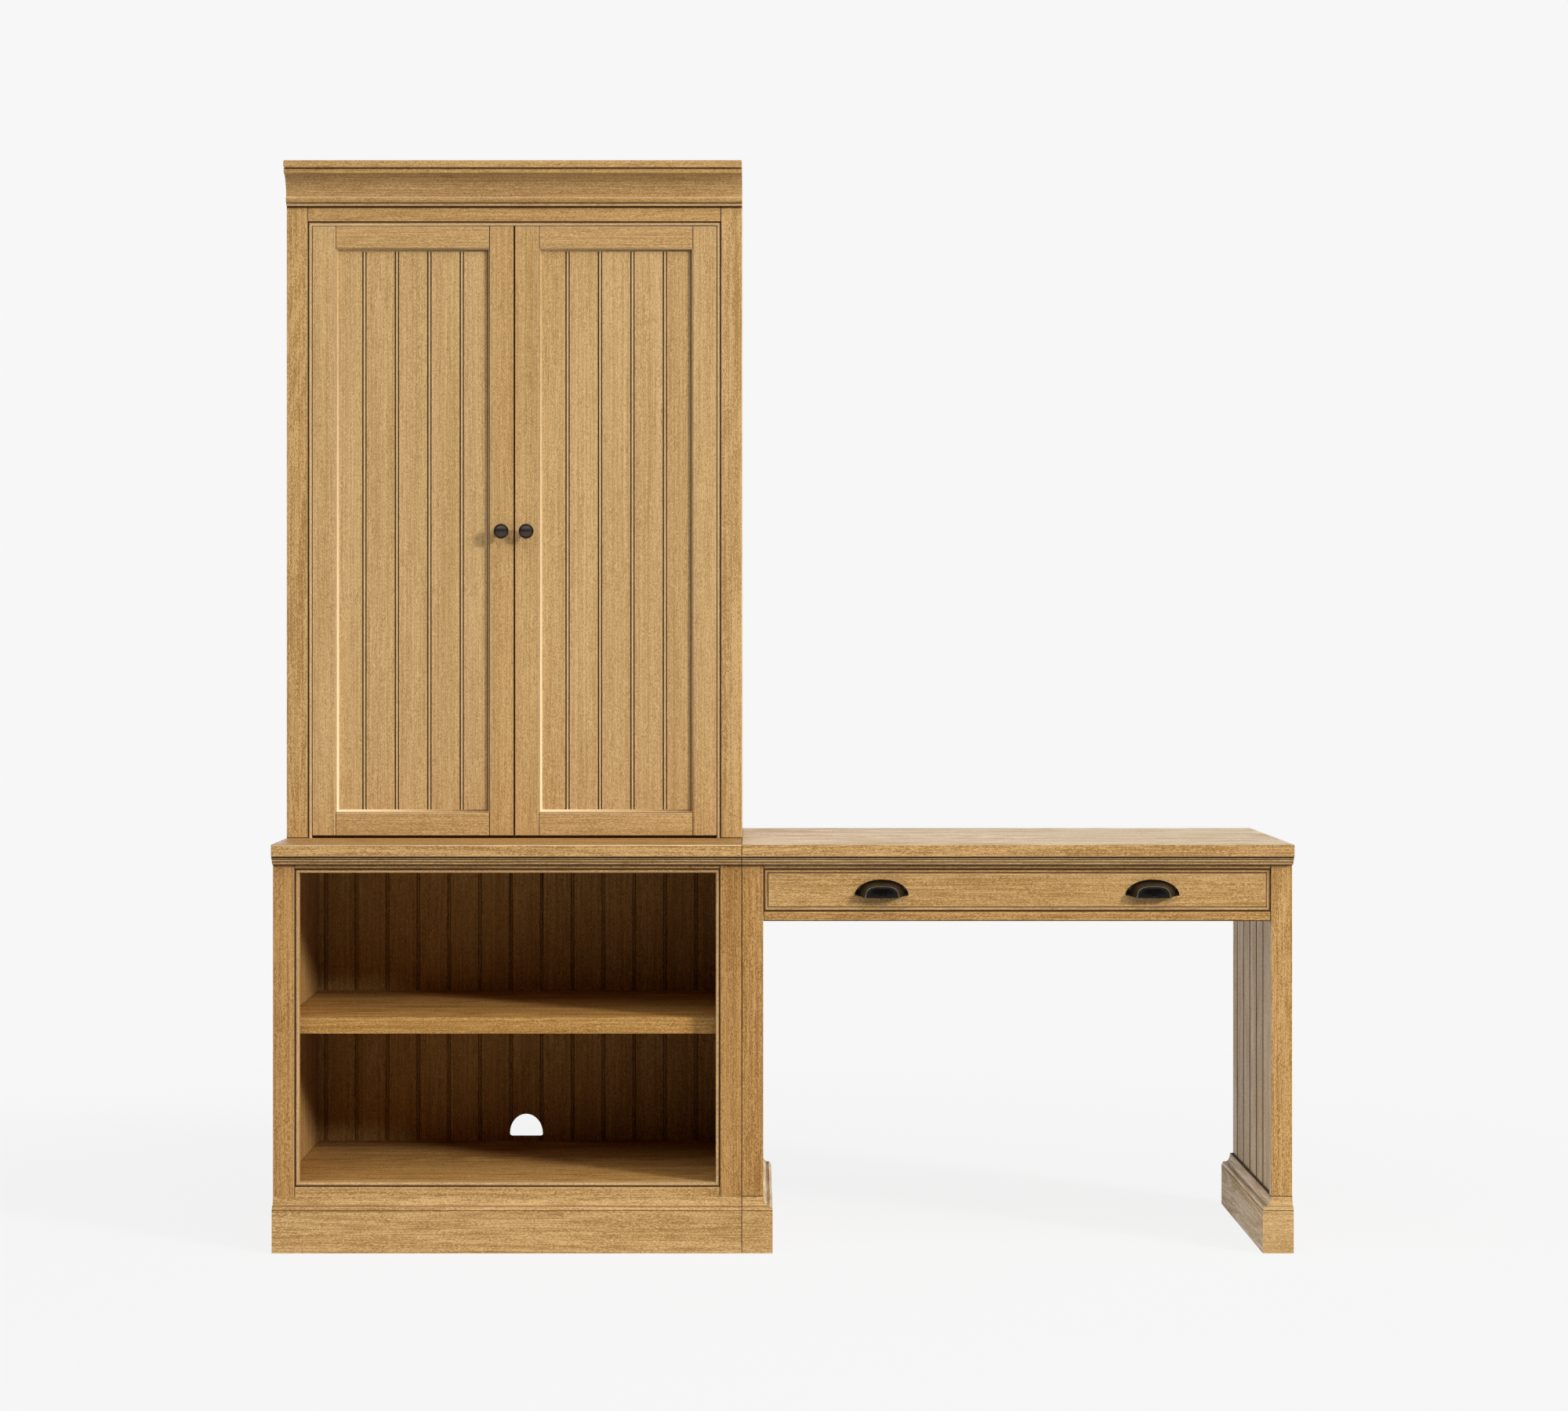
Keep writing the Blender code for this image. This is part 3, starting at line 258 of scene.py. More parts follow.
# Cover of the full glaze, which also paints shade, and of the rubbed wood, which also paints highlights,
# and the tones between which the sheen changes
GLAZE_AND_SHADE_SHARE = 0.96
RUBBED_AND_HIGHLIGHT_SHARE = -0.55
DULL_TONE = 0.25
SHINY_TONE = 0.75
OPEN_GRAIN = 0.5

# Each plank has its own place in the grain, metres apart, and its own tone
GRAIN_SHIFT = 9.0
TONE_SPREAD = 0.03

# Strength of the figure: on flat tops, on the sides of the desk, and what each other plank draws from
TOP_FIGURE = 2.4
LEG_FIGURE = 2.0
CALM_FIGURES = (0.2, 0.35, 0.5)
PLAIN_FIGURES = (0.5, 0.7, 1.0)
BOLD_FIGURES = (1.4, 1.6, 1.9)
CALM_BOARDS = ("base_stile_left", "base_stile_right", "hutch_frieze_rail", "desk_plinth_right")
BOLD_BOARDS = (
    *WORKTOPS,
    "base_plinth",
    "base_bottom_rail",
    "hutch_stile_left",
    "hutch_stile_right",
    "desk_leg_right",
)

# Boards inside the open cabinet have only a thin coat
INSIDE_BOARDS = ("base_back", "base_bottom", "base_shelf")

# Depth of each board's tone, as the power of the oak's colour: on its front, and on its other sides.
# Besides the board's own tone it holds painted light and shade, matched board by board: the desk top and
# the shaded inner sides of the legs and plinths are toned paler, and the boards inside the open cabinet
# darker
PLAIN_TONE = (1.0, 1.0)
# The sides of the legs and their plinths that face away from the knee space
OUTER_TONE = 1.08
BOARD_TONES_AND_PAINTED_LIGHT = {
    "hutch_top": (1.13, 1.13),
    "hutch_crown": (1.12, 1.12),
    "hutch_frieze_rail": (1.17, 1.17),
    "hutch_stile_left": (1.13, 1.10),
    "hutch_stile_right": (1.08, 1.05),
    "left_door_lock_stile": (1.07, 1.07),
    "right_door_lock_stile": (1.07, 1.07),
    "left_door_top_rail": (1.07, 1.07),
    "right_door_top_rail": (1.07, 1.07),
    "left_door_bottom_rail": (1.00, 1.00),
    "right_door_bottom_rail": (1.00, 1.00),
    "base_top": (1.21, 1.36),
    "base_top_rail": (1.30, 1.30),
    "base_stile_left": (1.38, 1.30),
    "base_stile_right": (1.43, 1.30),
    "base_side_left": (1.28, 1.28),
    "base_side_right": (1.35, 1.35),
    "base_back": (1.23, 1.30),
    "base_bottom": (1.35, 1.35),
    "base_shelf": (1.27, 1.38),
    "base_bottom_rail": (1.19, 1.19),
    "base_plinth": (1.10, 1.05),
    "desk_top": (1.13, 0.80),
    "desk_top_rail": (1.25, 1.25),
    "desk_bottom_rail": (1.32, 1.25),
    "desk_leg_left": (1.42, 1.05),
    "desk_leg_right": (1.25, 0.70),
    "desk_plinth_left": (1.10, 0.85),
    "desk_plinth_right": (1.00, 0.70),
    "drawer_front": (1.18, 1.18),
    "base_opening_bead": (1.22, 1.22),
    "desk_drawer_bead": (1.18, 1.18),
    "hutch_opening_bead": (1.08, 1.08),
}

# Bronze: the size of its patches of patina, where they begin and are full, and its rubbed ridges
PATINA_SIZE = 5 * MM
PATINA_EDGE = 0.35
PATINA_FULL = 0.7
BRONZE_METAL = 0.85
BARE_BRONZE = "#6E6455"

# Plated steel: the marks that drawing leaves, its greys and its roughness
MARK_WIDTH = 0.8 * MM
MARK_LENGTH = 12 * MM
STEEL_GREY = "#B4B6B8"
STEEL_PALE = "#CFD0D1"
STEEL_SMOOTH = 0.20
STEEL_ROUGH = 0.42

# Knob, in mm: its foot and neck by radius and distance out, its rim and the ring inside it by inset and
# distance past the rim's line, which lies behind the front, and where the dome starts inside the ring
KNOB_FOOT = ((0.0, 0.0), (10.0, 0.0), (10.0, 1.3), (9.2, 2.1), (7.0, 3.0))
KNOB_NECK = ((5.9, 5.0), (5.6, 9.0), (6.3, 13.0), (8.6, 16.4))
KNOB_RIM = ((1.6, -1.6), (0.5, -0.9), (0.0, 0.0), (0.3, 0.9), (1.1, 1.6))
KNOB_RING = ((1.7, 1.7), (2.1, 1.2), (2.5, 0.9), (2.9, 1.2))
KNOB_RIM_BACK = 5.2
KNOB_DOME_INSET = 3.3
KNOB_DOME_FOOT = 1.8
KNOB_DOME_STEPS = 8
KNOB_SIDES = 48

# Cup pull, in mm: its profile by distance from the middle and distance out, the distance past which the
# ridge is rubbed, the lip's drop and the wall; the power of its outline is 2 on the rim and more inside
PULL_SKIRT = ((50.5, 0.0), (50.5, 1.4), (48.4, 2.1), (45.2, 3.7), (42.0, 6.4), (39.2, 10.0), (36.9, 14.4))
PULL_RIDGE = ((35.2, 18.2), (34.4, 21.0), (33.6, 23.2), (32.5, 24.6), (31.3, 25.0), (30.1, 24.5))
PULL_FRONT = ((29.3, 23.2), (28.6, 22.3), (26.0, 22.0), (18.0, 22.6), (9.0, 23.0), (0.0, 23.2))
PULL_CREST = 24.2
PULL_LIP = 4.4
PULL_WALL = 2.2
PULL_STEPS = 36
PULL_ROUND = 2.0
PULL_SQUARING = 2.2


def linear(code):
    """Linear red, green, blue and alpha of an sRGB hex colour."""
    values = []
    for index in (1, 3, 5):
        share = int(code[index:index + 2], 16) / 255
        values.append(share / 12.92 if share <= 0.04045 else ((share + 0.055) / 1.055) ** 2.4)
    return (*values, 1.0)


def add_node(tree, kind, values=None, links=None, **settings):
    """Adds a node with its settings, the values of its sockets and the links into them."""
    node = tree.nodes.new(kind)
    for name, setting in settings.items():
        setattr(node, name, setting)
    for socket, value in (values or {}).items():
        node.inputs[socket].default_value = value
    for socket, source in (links or {}).items():
        tree.links.new(source, node.inputs[socket])
    return node


def new_material(name):
    """A new material, with its tree of nodes and its shader."""
    material = bpy.data.materials.new(name)
    material.use_nodes = True
    tree = material.node_tree
    return material, tree, tree.nodes["Principled BSDF"]


def oak_finish(name, pale, deep, pore, glaze_and_painted_light, rubbed, contrast, roughness, specular):
    """Lacquered oak: fine streaks, short open pores and flame figure, dark glaze in hollows that also
    paints their shade, rubbed beads, and painted highlights.

    The grain attribute holds metres along and across each board's own grain. The tint attribute holds the
    depth of the board's tone with its painted light, the glaze with its painted shade (below nothing where
    it is rubbed off or a highlight is painted) and the flame figure.
    """
    material, tree, shader = new_material(name)
    grain = add_node(tree, "ShaderNodeAttribute", attribute_name="grain").outputs["Vector"]
    tint = add_node(tree, "ShaderNodeAttribute", attribute_name="tint").outputs["Vector"]
    tint_parts = add_node(tree, "ShaderNodeSeparateXYZ", links={"Vector": tint}).outputs

    # The lines of real wood waver slowly along a board
    drift_scale = (1 / WAVER_LENGTH, 1 / WAVER_WIDTH, 1 / WAVER_WIDTH)
    drift_place = add_node(tree, "ShaderNodeMapping", {"Scale": drift_scale}, {"Vector": grain})
    drift = add_node(
        tree, "ShaderNodeTexNoise", {"Scale": 1.0, "Detail": 1.0}, {"Vector": drift_place.outputs["Vector"]}
    )
    reach = (0.0, WAVER_REACH, WAVER_REACH)
    wavered = add_node(
        tree,
        "ShaderNodeVectorMath",
        {1: reach},
        {0: drift.outputs["Color"], 2: grain},
        operation="MULTIPLY_ADD",
    )
    patterns = {}
    for pattern, (length, width, detail, share) in OAK_PATTERNS.items():
        scale = (1 / length, 1 / width, 1 / width)
        place = add_node(tree, "ShaderNodeMapping", {"Scale": scale}, {"Vector": wavered.outputs["Vector"]})
        noise = add_node(
            tree,
            "ShaderNodeTexNoise",
            {"Scale": 1.0, "Detail": detail, "Roughness": OCTAVE_SHARE},
            {"Vector": place.outputs["Vector"]},
        )
        patterns[pattern] = noise.outputs["Fac"]

    # Flame figure: rings cut by the flat of the board
    rings = add_node(tree, "ShaderNodeMath", {1: FLAME_RINGS}, {0: patterns["flame"]}, operation="MULTIPLY")
    ring_wave = add_node(tree, "ShaderNodeMath", {}, {0: rings.outputs[0]}, operation="SINE")
    flame = add_node(
        tree, "ShaderNodeMath", {1: FLAME_SHARE}, {0: ring_wave.outputs[0]}, operation="MULTIPLY"
    )

    # Tone between the deep and the pale wood, bolder on boards with more figure
    middle = 0.0
    tone = add_node(
        tree, "ShaderNodeMath", {}, {0: flame.outputs[0], 1: tint_parts["Z"]}, operation="MULTIPLY"
    ).outputs[0]
    for pattern, (length, width, detail, share) in OAK_PATTERNS.items():
        if share:
            middle -= share / 2
            tone = add_node(
                tree,
                "ShaderNodeMath",
                {1: share},
                {0: patterns[pattern], 2: tone},
                operation="MULTIPLY_ADD",
            ).outputs[0]
    centred = add_node(tree, "ShaderNodeMath", {1: middle}, {0: tone}, operation="ADD")
    boldness = add_node(
        tree,
        "ShaderNodeMath",
        {1: BOLD_RANGE * contrast, 2: BOLD_LEAST * contrast},
        {0: tint_parts["Z"]},
        operation="MULTIPLY_ADD",
    )
    level = add_node(
        tree,
        "ShaderNodeMath",
        {2: MIDDLE_TONE},
        {0: centred.outputs[0], 1: boldness.outputs[0]},
        operation="MULTIPLY_ADD",
        use_clamp=True,
    )
    wood = add_node(
        tree,
        "ShaderNodeMix",
        {"A": linear(deep), "B": linear(pale)},
        {"Factor": level.outputs[0]},
        data_type="RGBA",
    )
    pore_mask = add_node(
        tree,
        "ShaderNodeMapRange",
        {"From Min": PORE_EDGE, "From Max": PORE_FULL, "To Max": PORE_SHARE},
        {"Value": patterns["pores"]},
    )
    pored = add_node(
        tree,
        "ShaderNodeMix",
        {"B": linear(pore)},
        {"Factor": pore_mask.outputs["Result"], "A": wood.outputs["Result"]},
        data_type="RGBA",
    )
    toned = add_node(
        tree, "ShaderNodeGamma", {}, {"Color": pored.outputs["Result"], "Gamma": tint_parts["X"]}
    )
    finish = toned.outputs["Color"]
    amounts = []
    # The glaze colour also paints shade, and the rubbed colour also paints highlights
    for colour, share in ((glaze_and_painted_light, GLAZE_AND_SHADE_SHARE), (rubbed, RUBBED_AND_HIGHLIGHT_SHARE)):
        amount = add_node(
            tree, "ShaderNodeMath", {1: share}, {0: tint_parts["Y"]}, operation="MULTIPLY", use_clamp=True
        )
        amounts.append(amount.outputs[0])
        finish = add_node(
            tree,
            "ShaderNodeMix",
            {"B": linear(colour)},
            {"Factor": amount.outputs[0], "A": finish},
            data_type="RGBA",
        ).outputs["Result"]
    tree.links.new(finish, shader.inputs["Base Color"])

    relief = add_node(
        tree,
        "ShaderNodeMath",
        {1: -1.0},
        {0: pore_mask.outputs["Result"], 2: patterns["streaks"]},
        operation="MULTIPLY_ADD",
    )
    bump = add_node(
        tree,
        "ShaderNodeBump",
        {"Strength": RELIEF_STRENGTH, "Distance": RELIEF_DEPTH},
        {"Height": relief.outputs[0]},
    )
    tree.links.new(bump.outputs["Normal"], shader.inputs["Normal"])
    # The open, deep lines of the grain break the sheen, and the glaze is quite dull
    open_roughness = min(1.0, roughness + OPEN_GRAIN)
    gloss = add_node(
        tree,
        "ShaderNodeMapRange",
        {"From Min": DULL_TONE, "From Max": SHINY_TONE, "To Min": open_roughness, "To Max": roughness},
        {"Value": level.outputs[0]},
    )
    dulled = add_node(
        tree, "ShaderNodeMath", {}, {0: gloss.outputs["Result"], 1: amounts[0]}, operation="MAXIMUM"
    )
    tree.links.new(dulled.outputs[0], shader.inputs["Roughness"])
    shader.inputs["Specular IOR Level"].default_value = specular
    return material


def bronze_finish(name, dark, light, smooth, rough):
    """Oil-rubbed bronze: almost black brown with a satin sheen, paler where a ridge is rubbed bare."""
    material, tree, shader = new_material(name)
    place = add_node(tree, "ShaderNodeTexCoord").outputs["Object"]
    patina = add_node(
        tree, "ShaderNodeTexNoise", {"Scale": 1 / PATINA_SIZE, "Detail": 3.0}, {"Vector": place}
    ).outputs["Fac"]
    patch = add_node(
        tree, "ShaderNodeMapRange", {"From Min": PATINA_EDGE, "From Max": PATINA_FULL}, {"Value": patina}
    )
    colour = add_node(
        tree,
        "ShaderNodeMix",
        {"A": linear(dark), "B": linear(light)},
        {"Factor": patch.outputs["Result"]},
        data_type="RGBA",
    )
    gloss = add_node(
        tree, "ShaderNodeMapRange", {"To Min": smooth, "To Max": rough}, {"Value": patch.outputs["Result"]}
    )
    rubbed = add_node(tree, "ShaderNodeAttribute", attribute_name="rubbed").outputs["Fac"]
    bare = add_node(
        tree,
        "ShaderNodeMix",
        {"B": linear(BARE_BRONZE)},
        {"Factor": rubbed, "A": colour.outputs["Result"]},
        data_type="RGBA",
    )
    tree.links.new(bare.outputs["Result"], shader.inputs["Base Color"])
    tree.links.new(gloss.outputs["Result"], shader.inputs["Roughness"])
    shader.inputs["Metallic"].default_value = BRONZE_METAL
    return material


def steel_finish():
    """Nickel-plated pressed steel: bright grey, with faint drawing marks."""
    material, tree, shader = new_material("nickel_plated_steel")
    place = add_node(tree, "ShaderNodeTexCoord").outputs["Object"]
    marks = add_node(
        tree,
        "ShaderNodeMapping",
        {"Scale": (1 / MARK_WIDTH, 1 / MARK_WIDTH, 1 / MARK_LENGTH)},
        {"Vector": place},
    )
    drawn = add_node(
        tree, "ShaderNodeTexNoise", {"Scale": 1.0, "Detail": 2.0}, {"Vector": marks.outputs["Vector"]}
    ).outputs["Fac"]
    gloss = add_node(
        tree, "ShaderNodeMapRange", {"To Min": STEEL_SMOOTH, "To Max": STEEL_ROUGH}, {"Value": drawn}
    )
    colour = add_node(
        tree,
        "ShaderNodeMix",
        {"A": linear(STEEL_GREY), "B": linear(STEEL_PALE)},
        {"Factor": drawn},
        data_type="RGBA",
    )
    tree.links.new(colour.outputs["Result"], shader.inputs["Base Color"])
    tree.links.new(gloss.outputs["Result"], shader.inputs["Roughness"])
    shader.inputs["Metallic"].default_value = 1.0
    return material


def face_width(face):
    """A strip's width: its area over its longest edge."""
    return face.calc_area() / max(edge.calc_length() for edge in face.edges)


def is_arris(edge):
    """A long outer edge between two broad faces, which is eased by sanding."""
    if edge.calc_length() < ARRIS_LENGTH:
        return False
    if edge.calc_face_angle_signed(0.0) < ARRIS_ANGLE:
        return False
    return min(face_width(face) for face in edge.link_faces) > ARRIS_FACE


def merged_copy(node):
    """The solid's own shape, with its triangles merged to whole faces and its arrises eased."""
    bm = bmesh.new()
    bm.from_mesh(frame["nodes"][node].data)
    bmesh.ops.remove_doubles(bm, verts=bm.verts, dist=MERGE_DISTANCE)
    bmesh.ops.dissolve_limit(bm, angle_limit=FLAT_ANGLE, verts=bm.verts, edges=bm.edges)
    worn = bm.faces.layers.int.new("worn")
    arrises = [edge for edge in bm.edges if is_arris(edge)]
    eased = bmesh.ops.bevel(
        bm,
        geom=arrises,
        offset=ARRIS_EASE,
        offset_type="OFFSET",
        affect="EDGES",
        segments=2,
        profile=0.5,
        material=-1,
        clamp_overlap=True,
    )
    for face in eased["faces"]:
        face[worn] = 1
    return bm


def long_axis(vector):
    """The axis along which a vector is longest."""
    return max(range(3), key=lambda axis: abs(vector[axis]))


def board_axis(node):
    """A board's grain runs along its longest side, and upright on the cabinet backs."""
    if node.endswith("_back") and not node.startswith("drawer"):
        return 2
    low, high = BOXES[node]
    return long_axis(high - low)


def face_axis(face, node, axis):
    """Mouldings follow their own run, and a corner plinth's grain turns with it."""
    if node.endswith("_bead") or face_width(face) < STRIP_FACE:
        run = max(face.edges, key=lambda edge: edge.calc_length())
        return long_axis(run.verts[1].co - run.verts[0].co)
    if node.startswith("desk_plinth"):
        return 0 if abs(face.normal.y) > abs(face.normal.x) else 1
    return axis


def groove_run(node):
    """Grooves of a beadboard: the axis across them, the place of the first and their pitch."""
    low, high = BOXES[node]
    if node.startswith("desk_leg"):
        return 1, low.y + LEG_FIRST_GROOVE, LEG_PLANK_PITCH
    return 0, (low.x + high.x - PLANK_PITCH) / 2, PLANK_PITCH


def plank_place(point, node):
    """Where a point lies across a beadboard, in planks from a groove; other boards are all one plank."""
    axis, first, pitch = groove_run(node)
    if node in GROOVED_BOARDS or node in BEADBOARD_BACKS:
        return (point[axis] - first) / pitch, pitch
    return 0.5, pitch


def edge_inset(point, node):
    """How far a point lies in from the outer edges of a bead or a panel."""
    low, high = BOXES[node]
    inset = min(point.x - low.x, high.x - point.x, high.z - point.z)
    return inset if node == "hutch_opening_bead" else min(inset, point.z - low.z)


def bead_glaze_and_shade(point, node):
    """Glaze over a bead: full in its quirk, where it also paints the quirk's shade, and running out over
    the round.
    """
    share = min(1.0, max(0.0, (edge_inset(point, node) - QUIRK_INSET) / QUIRK_FADE))
    return 1.0 + share * (BEAD_GLAZES[node] - 1.0)


def border_painted_light(face, node):
    """The border round a door panel: painted highlight at the left and the foot, which face the light, and
    painted shadow lines and painted shade at the top and the right.
    """
    low, high = BOXES[node]
    glaze_and_painted_light = {}
    for vert in face.verts:
        inset = edge_inset(vert.co, node)
        on_right = high.x - vert.co.x < inset + MERGE_DISTANCE
        on_top = high.z - vert.co.z < inset + MERGE_DISTANCE
        if on_right or on_top:
            is_line = inset < BORDER_OUTER or inset > BORDER_INNER
            glaze_and_painted_light[vert] = BORDER_PAINTED_SHADOW if is_line else BORDER_PAINTED_SHADE * on_right
        else:
            glaze_and_painted_light[vert] = BORDER_PAINTED_HIGHLIGHT
    return glaze_and_painted_light


def face_glaze_and_painted_light(face, node, worn):
    """Glaze at a face's corners: dark in hollow lines and grooves, where it also paints their shade, dark
    as painted shade where the doors meet, painted light and shade on the panel borders, and rubbed off on
    beads and arrises.
    """
    middle = face.calc_center_median()
    across, pitch = plank_place(middle, node)
    width = face_width(face)
    if node.endswith("_bead"):
        return {vert: bead_glaze_and_shade(vert.co, node) for vert in face.verts}
    if node.endswith("_panel") and edge_inset(middle, node) < BORDER_END:
        return border_painted_light(face, node)
    if abs(across - round(across)) * pitch < GROOVE_REACH and width < GROOVE_FACE:
        facing = face.normal.x if node.startswith("desk_leg") else face.normal.y
        slope, bead = GROOVE_GLAZES_AND_SHADE.get(node, GROOVE_GLAZE_AND_SHADE)
        return dict.fromkeys(face.verts, bead if abs(facing) > SQUARE_SHARE else slope)
    if face[worn]:
        # The eased edges where the doors meet are painted dark as the gap's shade
        is_met = False
        if node in MEETING_EDGES:
            is_met = abs(middle.x - BOXES[node][MEETING_EDGES[node]].x) < ARRIS_EASE
        return dict.fromkeys(face.verts, 1.0 if is_met else WORN)
    corner_glaze_and_shade = dict.fromkeys(face.verts, 0.0)
    if width < HOLLOW_FACE:
        longest = max(edge.calc_length() for edge in face.edges)
        runs = [edge for edge in face.edges if edge.calc_length() > longest / 2]
        for edge in runs:
            if edge.calc_face_angle_signed(0.0) > ARRIS_ANGLE:
                corner_glaze_and_shade.update(dict.fromkeys(edge.verts, STRIP_WORN))
        # Full glaze along hollow lines, which also paints their shade
        for edge in runs:
            if edge.calc_face_angle_signed(0.0) < HOLLOW_ANGLE:
                corner_glaze_and_shade.update(dict.fromkeys(edge.verts, 1.0))
    return corner_glaze_and_shade


def is_outer(face, node):
    """Whether a side of a leg or its plinth faces away from the knee space."""
    low, high = BOXES[node]
    knee_low, knee_high = BOXES["desk_bottom_rail"]
    return ((low.x + high.x) - (knee_low.x + knee_high.x)) * face.normal.x > 0.0


def mark_grain(bm, node):
    """Writes each corner's place in its board's grain, and the board's tone with its painted light, its
    glaze with its painted shade and highlights, and its figure.
    """
    grain = bm.loops.layers.float_vector.new("grain")
    tint = bm.loops.layers.float_vector.new("tint")
    worn = bm.faces.layers.int["worn"]
    axis = board_axis(node)
    front_tone, other_tone = BOARD_TONES_AND_PAINTED_LIGHT.get(node, PLAIN_TONE)
    figures = BOLD_FIGURES if node in BOLD_BOARDS else PLAIN_FIGURES
    if "_door_" in node or node in CALM_BOARDS:
        figures = CALM_FIGURES
    for face in bm.faces:
        along = face_axis(face, node, axis)
        plank = random.Random(f"{node} {math.floor(plank_place(face.calc_center_median(), node)[0])}")
        shift = Vector([plank.uniform(0.0, GRAIN_SHIFT) for count in range(3)])
        # Painted light and shade: a board's front and its other sides take different tones for how the
        # light falls
        tone = front_tone if face.normal.y < -SIDE_SHARE else other_tone
        is_side = abs(face.normal.x) > SIDE_SHARE
        if node.startswith(("desk_leg", "desk_plinth")) and is_side and is_outer(face, node):
            tone = OUTER_TONE
        tone *= plank.uniform(1.0 - TONE_SPREAD, 1.0 + TONE_SPREAD)
        figure = plank.choice(figures)
        if face.normal.z > SQUARE_SHARE:
            figure = TOP_FIGURE
        elif node.startswith("desk_") and abs(face.normal.x) > SQUARE_SHARE:
            figure = LEG_FIGURE
        # Painted light: the moulding under the slab is toned paler where the slab shades it
        if node in WORKTOPS and face.calc_center_median().z < SLAB_UNDERSIDE - MERGE_DISTANCE:
            tone *= BED_PAINTED_LIGHT
        glaze_and_painted_light = face_glaze_and_painted_light(face, node, worn)
        for corner in face.loops:
            point = corner.vert.co
            turned = Vector([point[(along + turn) % 3] for turn in range(3)])
            corner[grain] = turned + shift
            corner[tint] = (tone, glaze_and_painted_light[corner.vert], figure)


def glaze_shadow_and_highlight_lines(node):
    """Lines on a board, of glaze in joints, painted shadow under overhangs, and painted shade and highlight
    along profiles: the axis across each, its place, its way, its reach and its glaze.
    """
    low, high = BOXES[node]
    lines = []
    if node.endswith("_rail"):
        lines += [(0, low.x, 1, JOINT_REACH, 1.0), (0, high.x, -1, JOINT_REACH, 1.0)]
    if node in RIGHT_OF_SEAM:
        lines.append((0, low.x, 1, SEAM_REACH, 1.0))
    if node in LEFT_OF_SEAM:
        lines.append((0, high.x, -1, SEAM_REACH, 1.0))
    # Painted shadow under an overhanging piece
    for piece, (reach, met) in SHADOW_LINES_BELOW.items():
        if node in met:
            lines.append((2, BOXES[piece][0].z, -1, reach, 1.0))
    # Glaze in the joint and painted shade at the foot of a board that stands on the piece
    for piece, met in SHADE_LINES_ABOVE.items():
        if node in met:
            lines.append((2, BOXES[piece][1].z, 1, FOOT_SHADE_REACH, 1.0))
    lines += [(2, *line) for line in PROFILE_SHADE_AND_HIGHLIGHTS.get(node, ())]
    return lines


def bead_shade_lines(node):
    """Painted shade on a board of a face frame, along the quirk of the bead that it holds."""
    lines = []
    for bead, met in BEAD_FRAMES.items():
        if node in met:
            low, high = BOXES[bead]
            edges = ((0, low.x, -1), (0, high.x, 1), (2, low.z, -1), (2, high.z, 1))
            lines.append((*edges[met.index(node)], BEAD_SHADE_REACH, 1.0))
    return lines


def groove_shade_lines(node):
    """Painted shade on the planks to both sides of a board's grooves."""
    axis, first, pitch = groove_run(node)
    grooves, reach, _facing = GROOVED_BOARDS[node]
    places = [(first + pitch * groove, way) for groove in grooves for way in (-1, 1)]
    return [(axis, place + way * GROOVE_HALF, way, reach, 1.0) for place, way in places]


def flat_faces(bm, node, facing):
    """Faces that look one way, without the moulded border of a door panel."""
    faces = [face for face in bm.faces if face.normal.dot(facing) > FLAT_SHARE]
    if node.endswith("_panel"):
        faces = [face for face in faces if edge_inset(face.calc_center_median(), node) > BORDER_END]
    return faces


def paint_glaze_and_light_lines(bm, node, lines, facing=None):
    """Cuts a board along its lines and paints the strips between the cuts with glaze, painted shade and
    painted highlights.
    """
    tint = bm.loops.layers.float_vector["tint"]
    for axis, place, way, reach, full in lines:
        across = Vector((axis == 0, axis == 1, axis == 2))
        core = min(LINE_CORE, reach * CORE_SHARE)
        for distance in (0.0, core, reach):
            faces = flat_faces(bm, node, facing) if facing else bm.faces[:]
            edges = {edge for face in faces for edge in face.edges}
            verts = {vert for face in faces for vert in face.verts}
            bmesh.ops.bisect_plane(
                bm,
                geom=[*verts, *edges, *faces],
                dist=MERGE_DISTANCE,
                plane_co=across * (place + way * distance),
                plane_no=across,
            )
        for face in flat_faces(bm, node, facing) if facing else bm.faces:
            if not 0.0 < (face.calc_center_median()[axis] - place) * way < reach:
                continue
            for corner in face.loops:
                away = (corner.vert.co[axis] - place) * way
                tone, glaze_and_painted_light, figure = corner[tint]
                amount = full * min(1.0, (reach - away) / (reach - core))
                corner[tint] = (tone, max(glaze_and_painted_light, amount) if full > 0 else amount, figure)


def finish_piece(name, bm, material, node):
    """Makes a piece of a mesh that stands for a solid and moves with it."""
    mesh = bpy.data.meshes.new(name)
    bm.to_mesh(mesh)
    bm.free()
    mesh.materials.append(material)
    mesh.shade_smooth()
    mesh.set_sharp_from_angle(angle=SHARP_ANGLE)
    piece = bpy.data.objects.new(name, mesh)
    bpy.context.scene.collection.objects.link(piece)
    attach(piece, frame["nodes"][node]["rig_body"])
    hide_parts(node)
    return piece


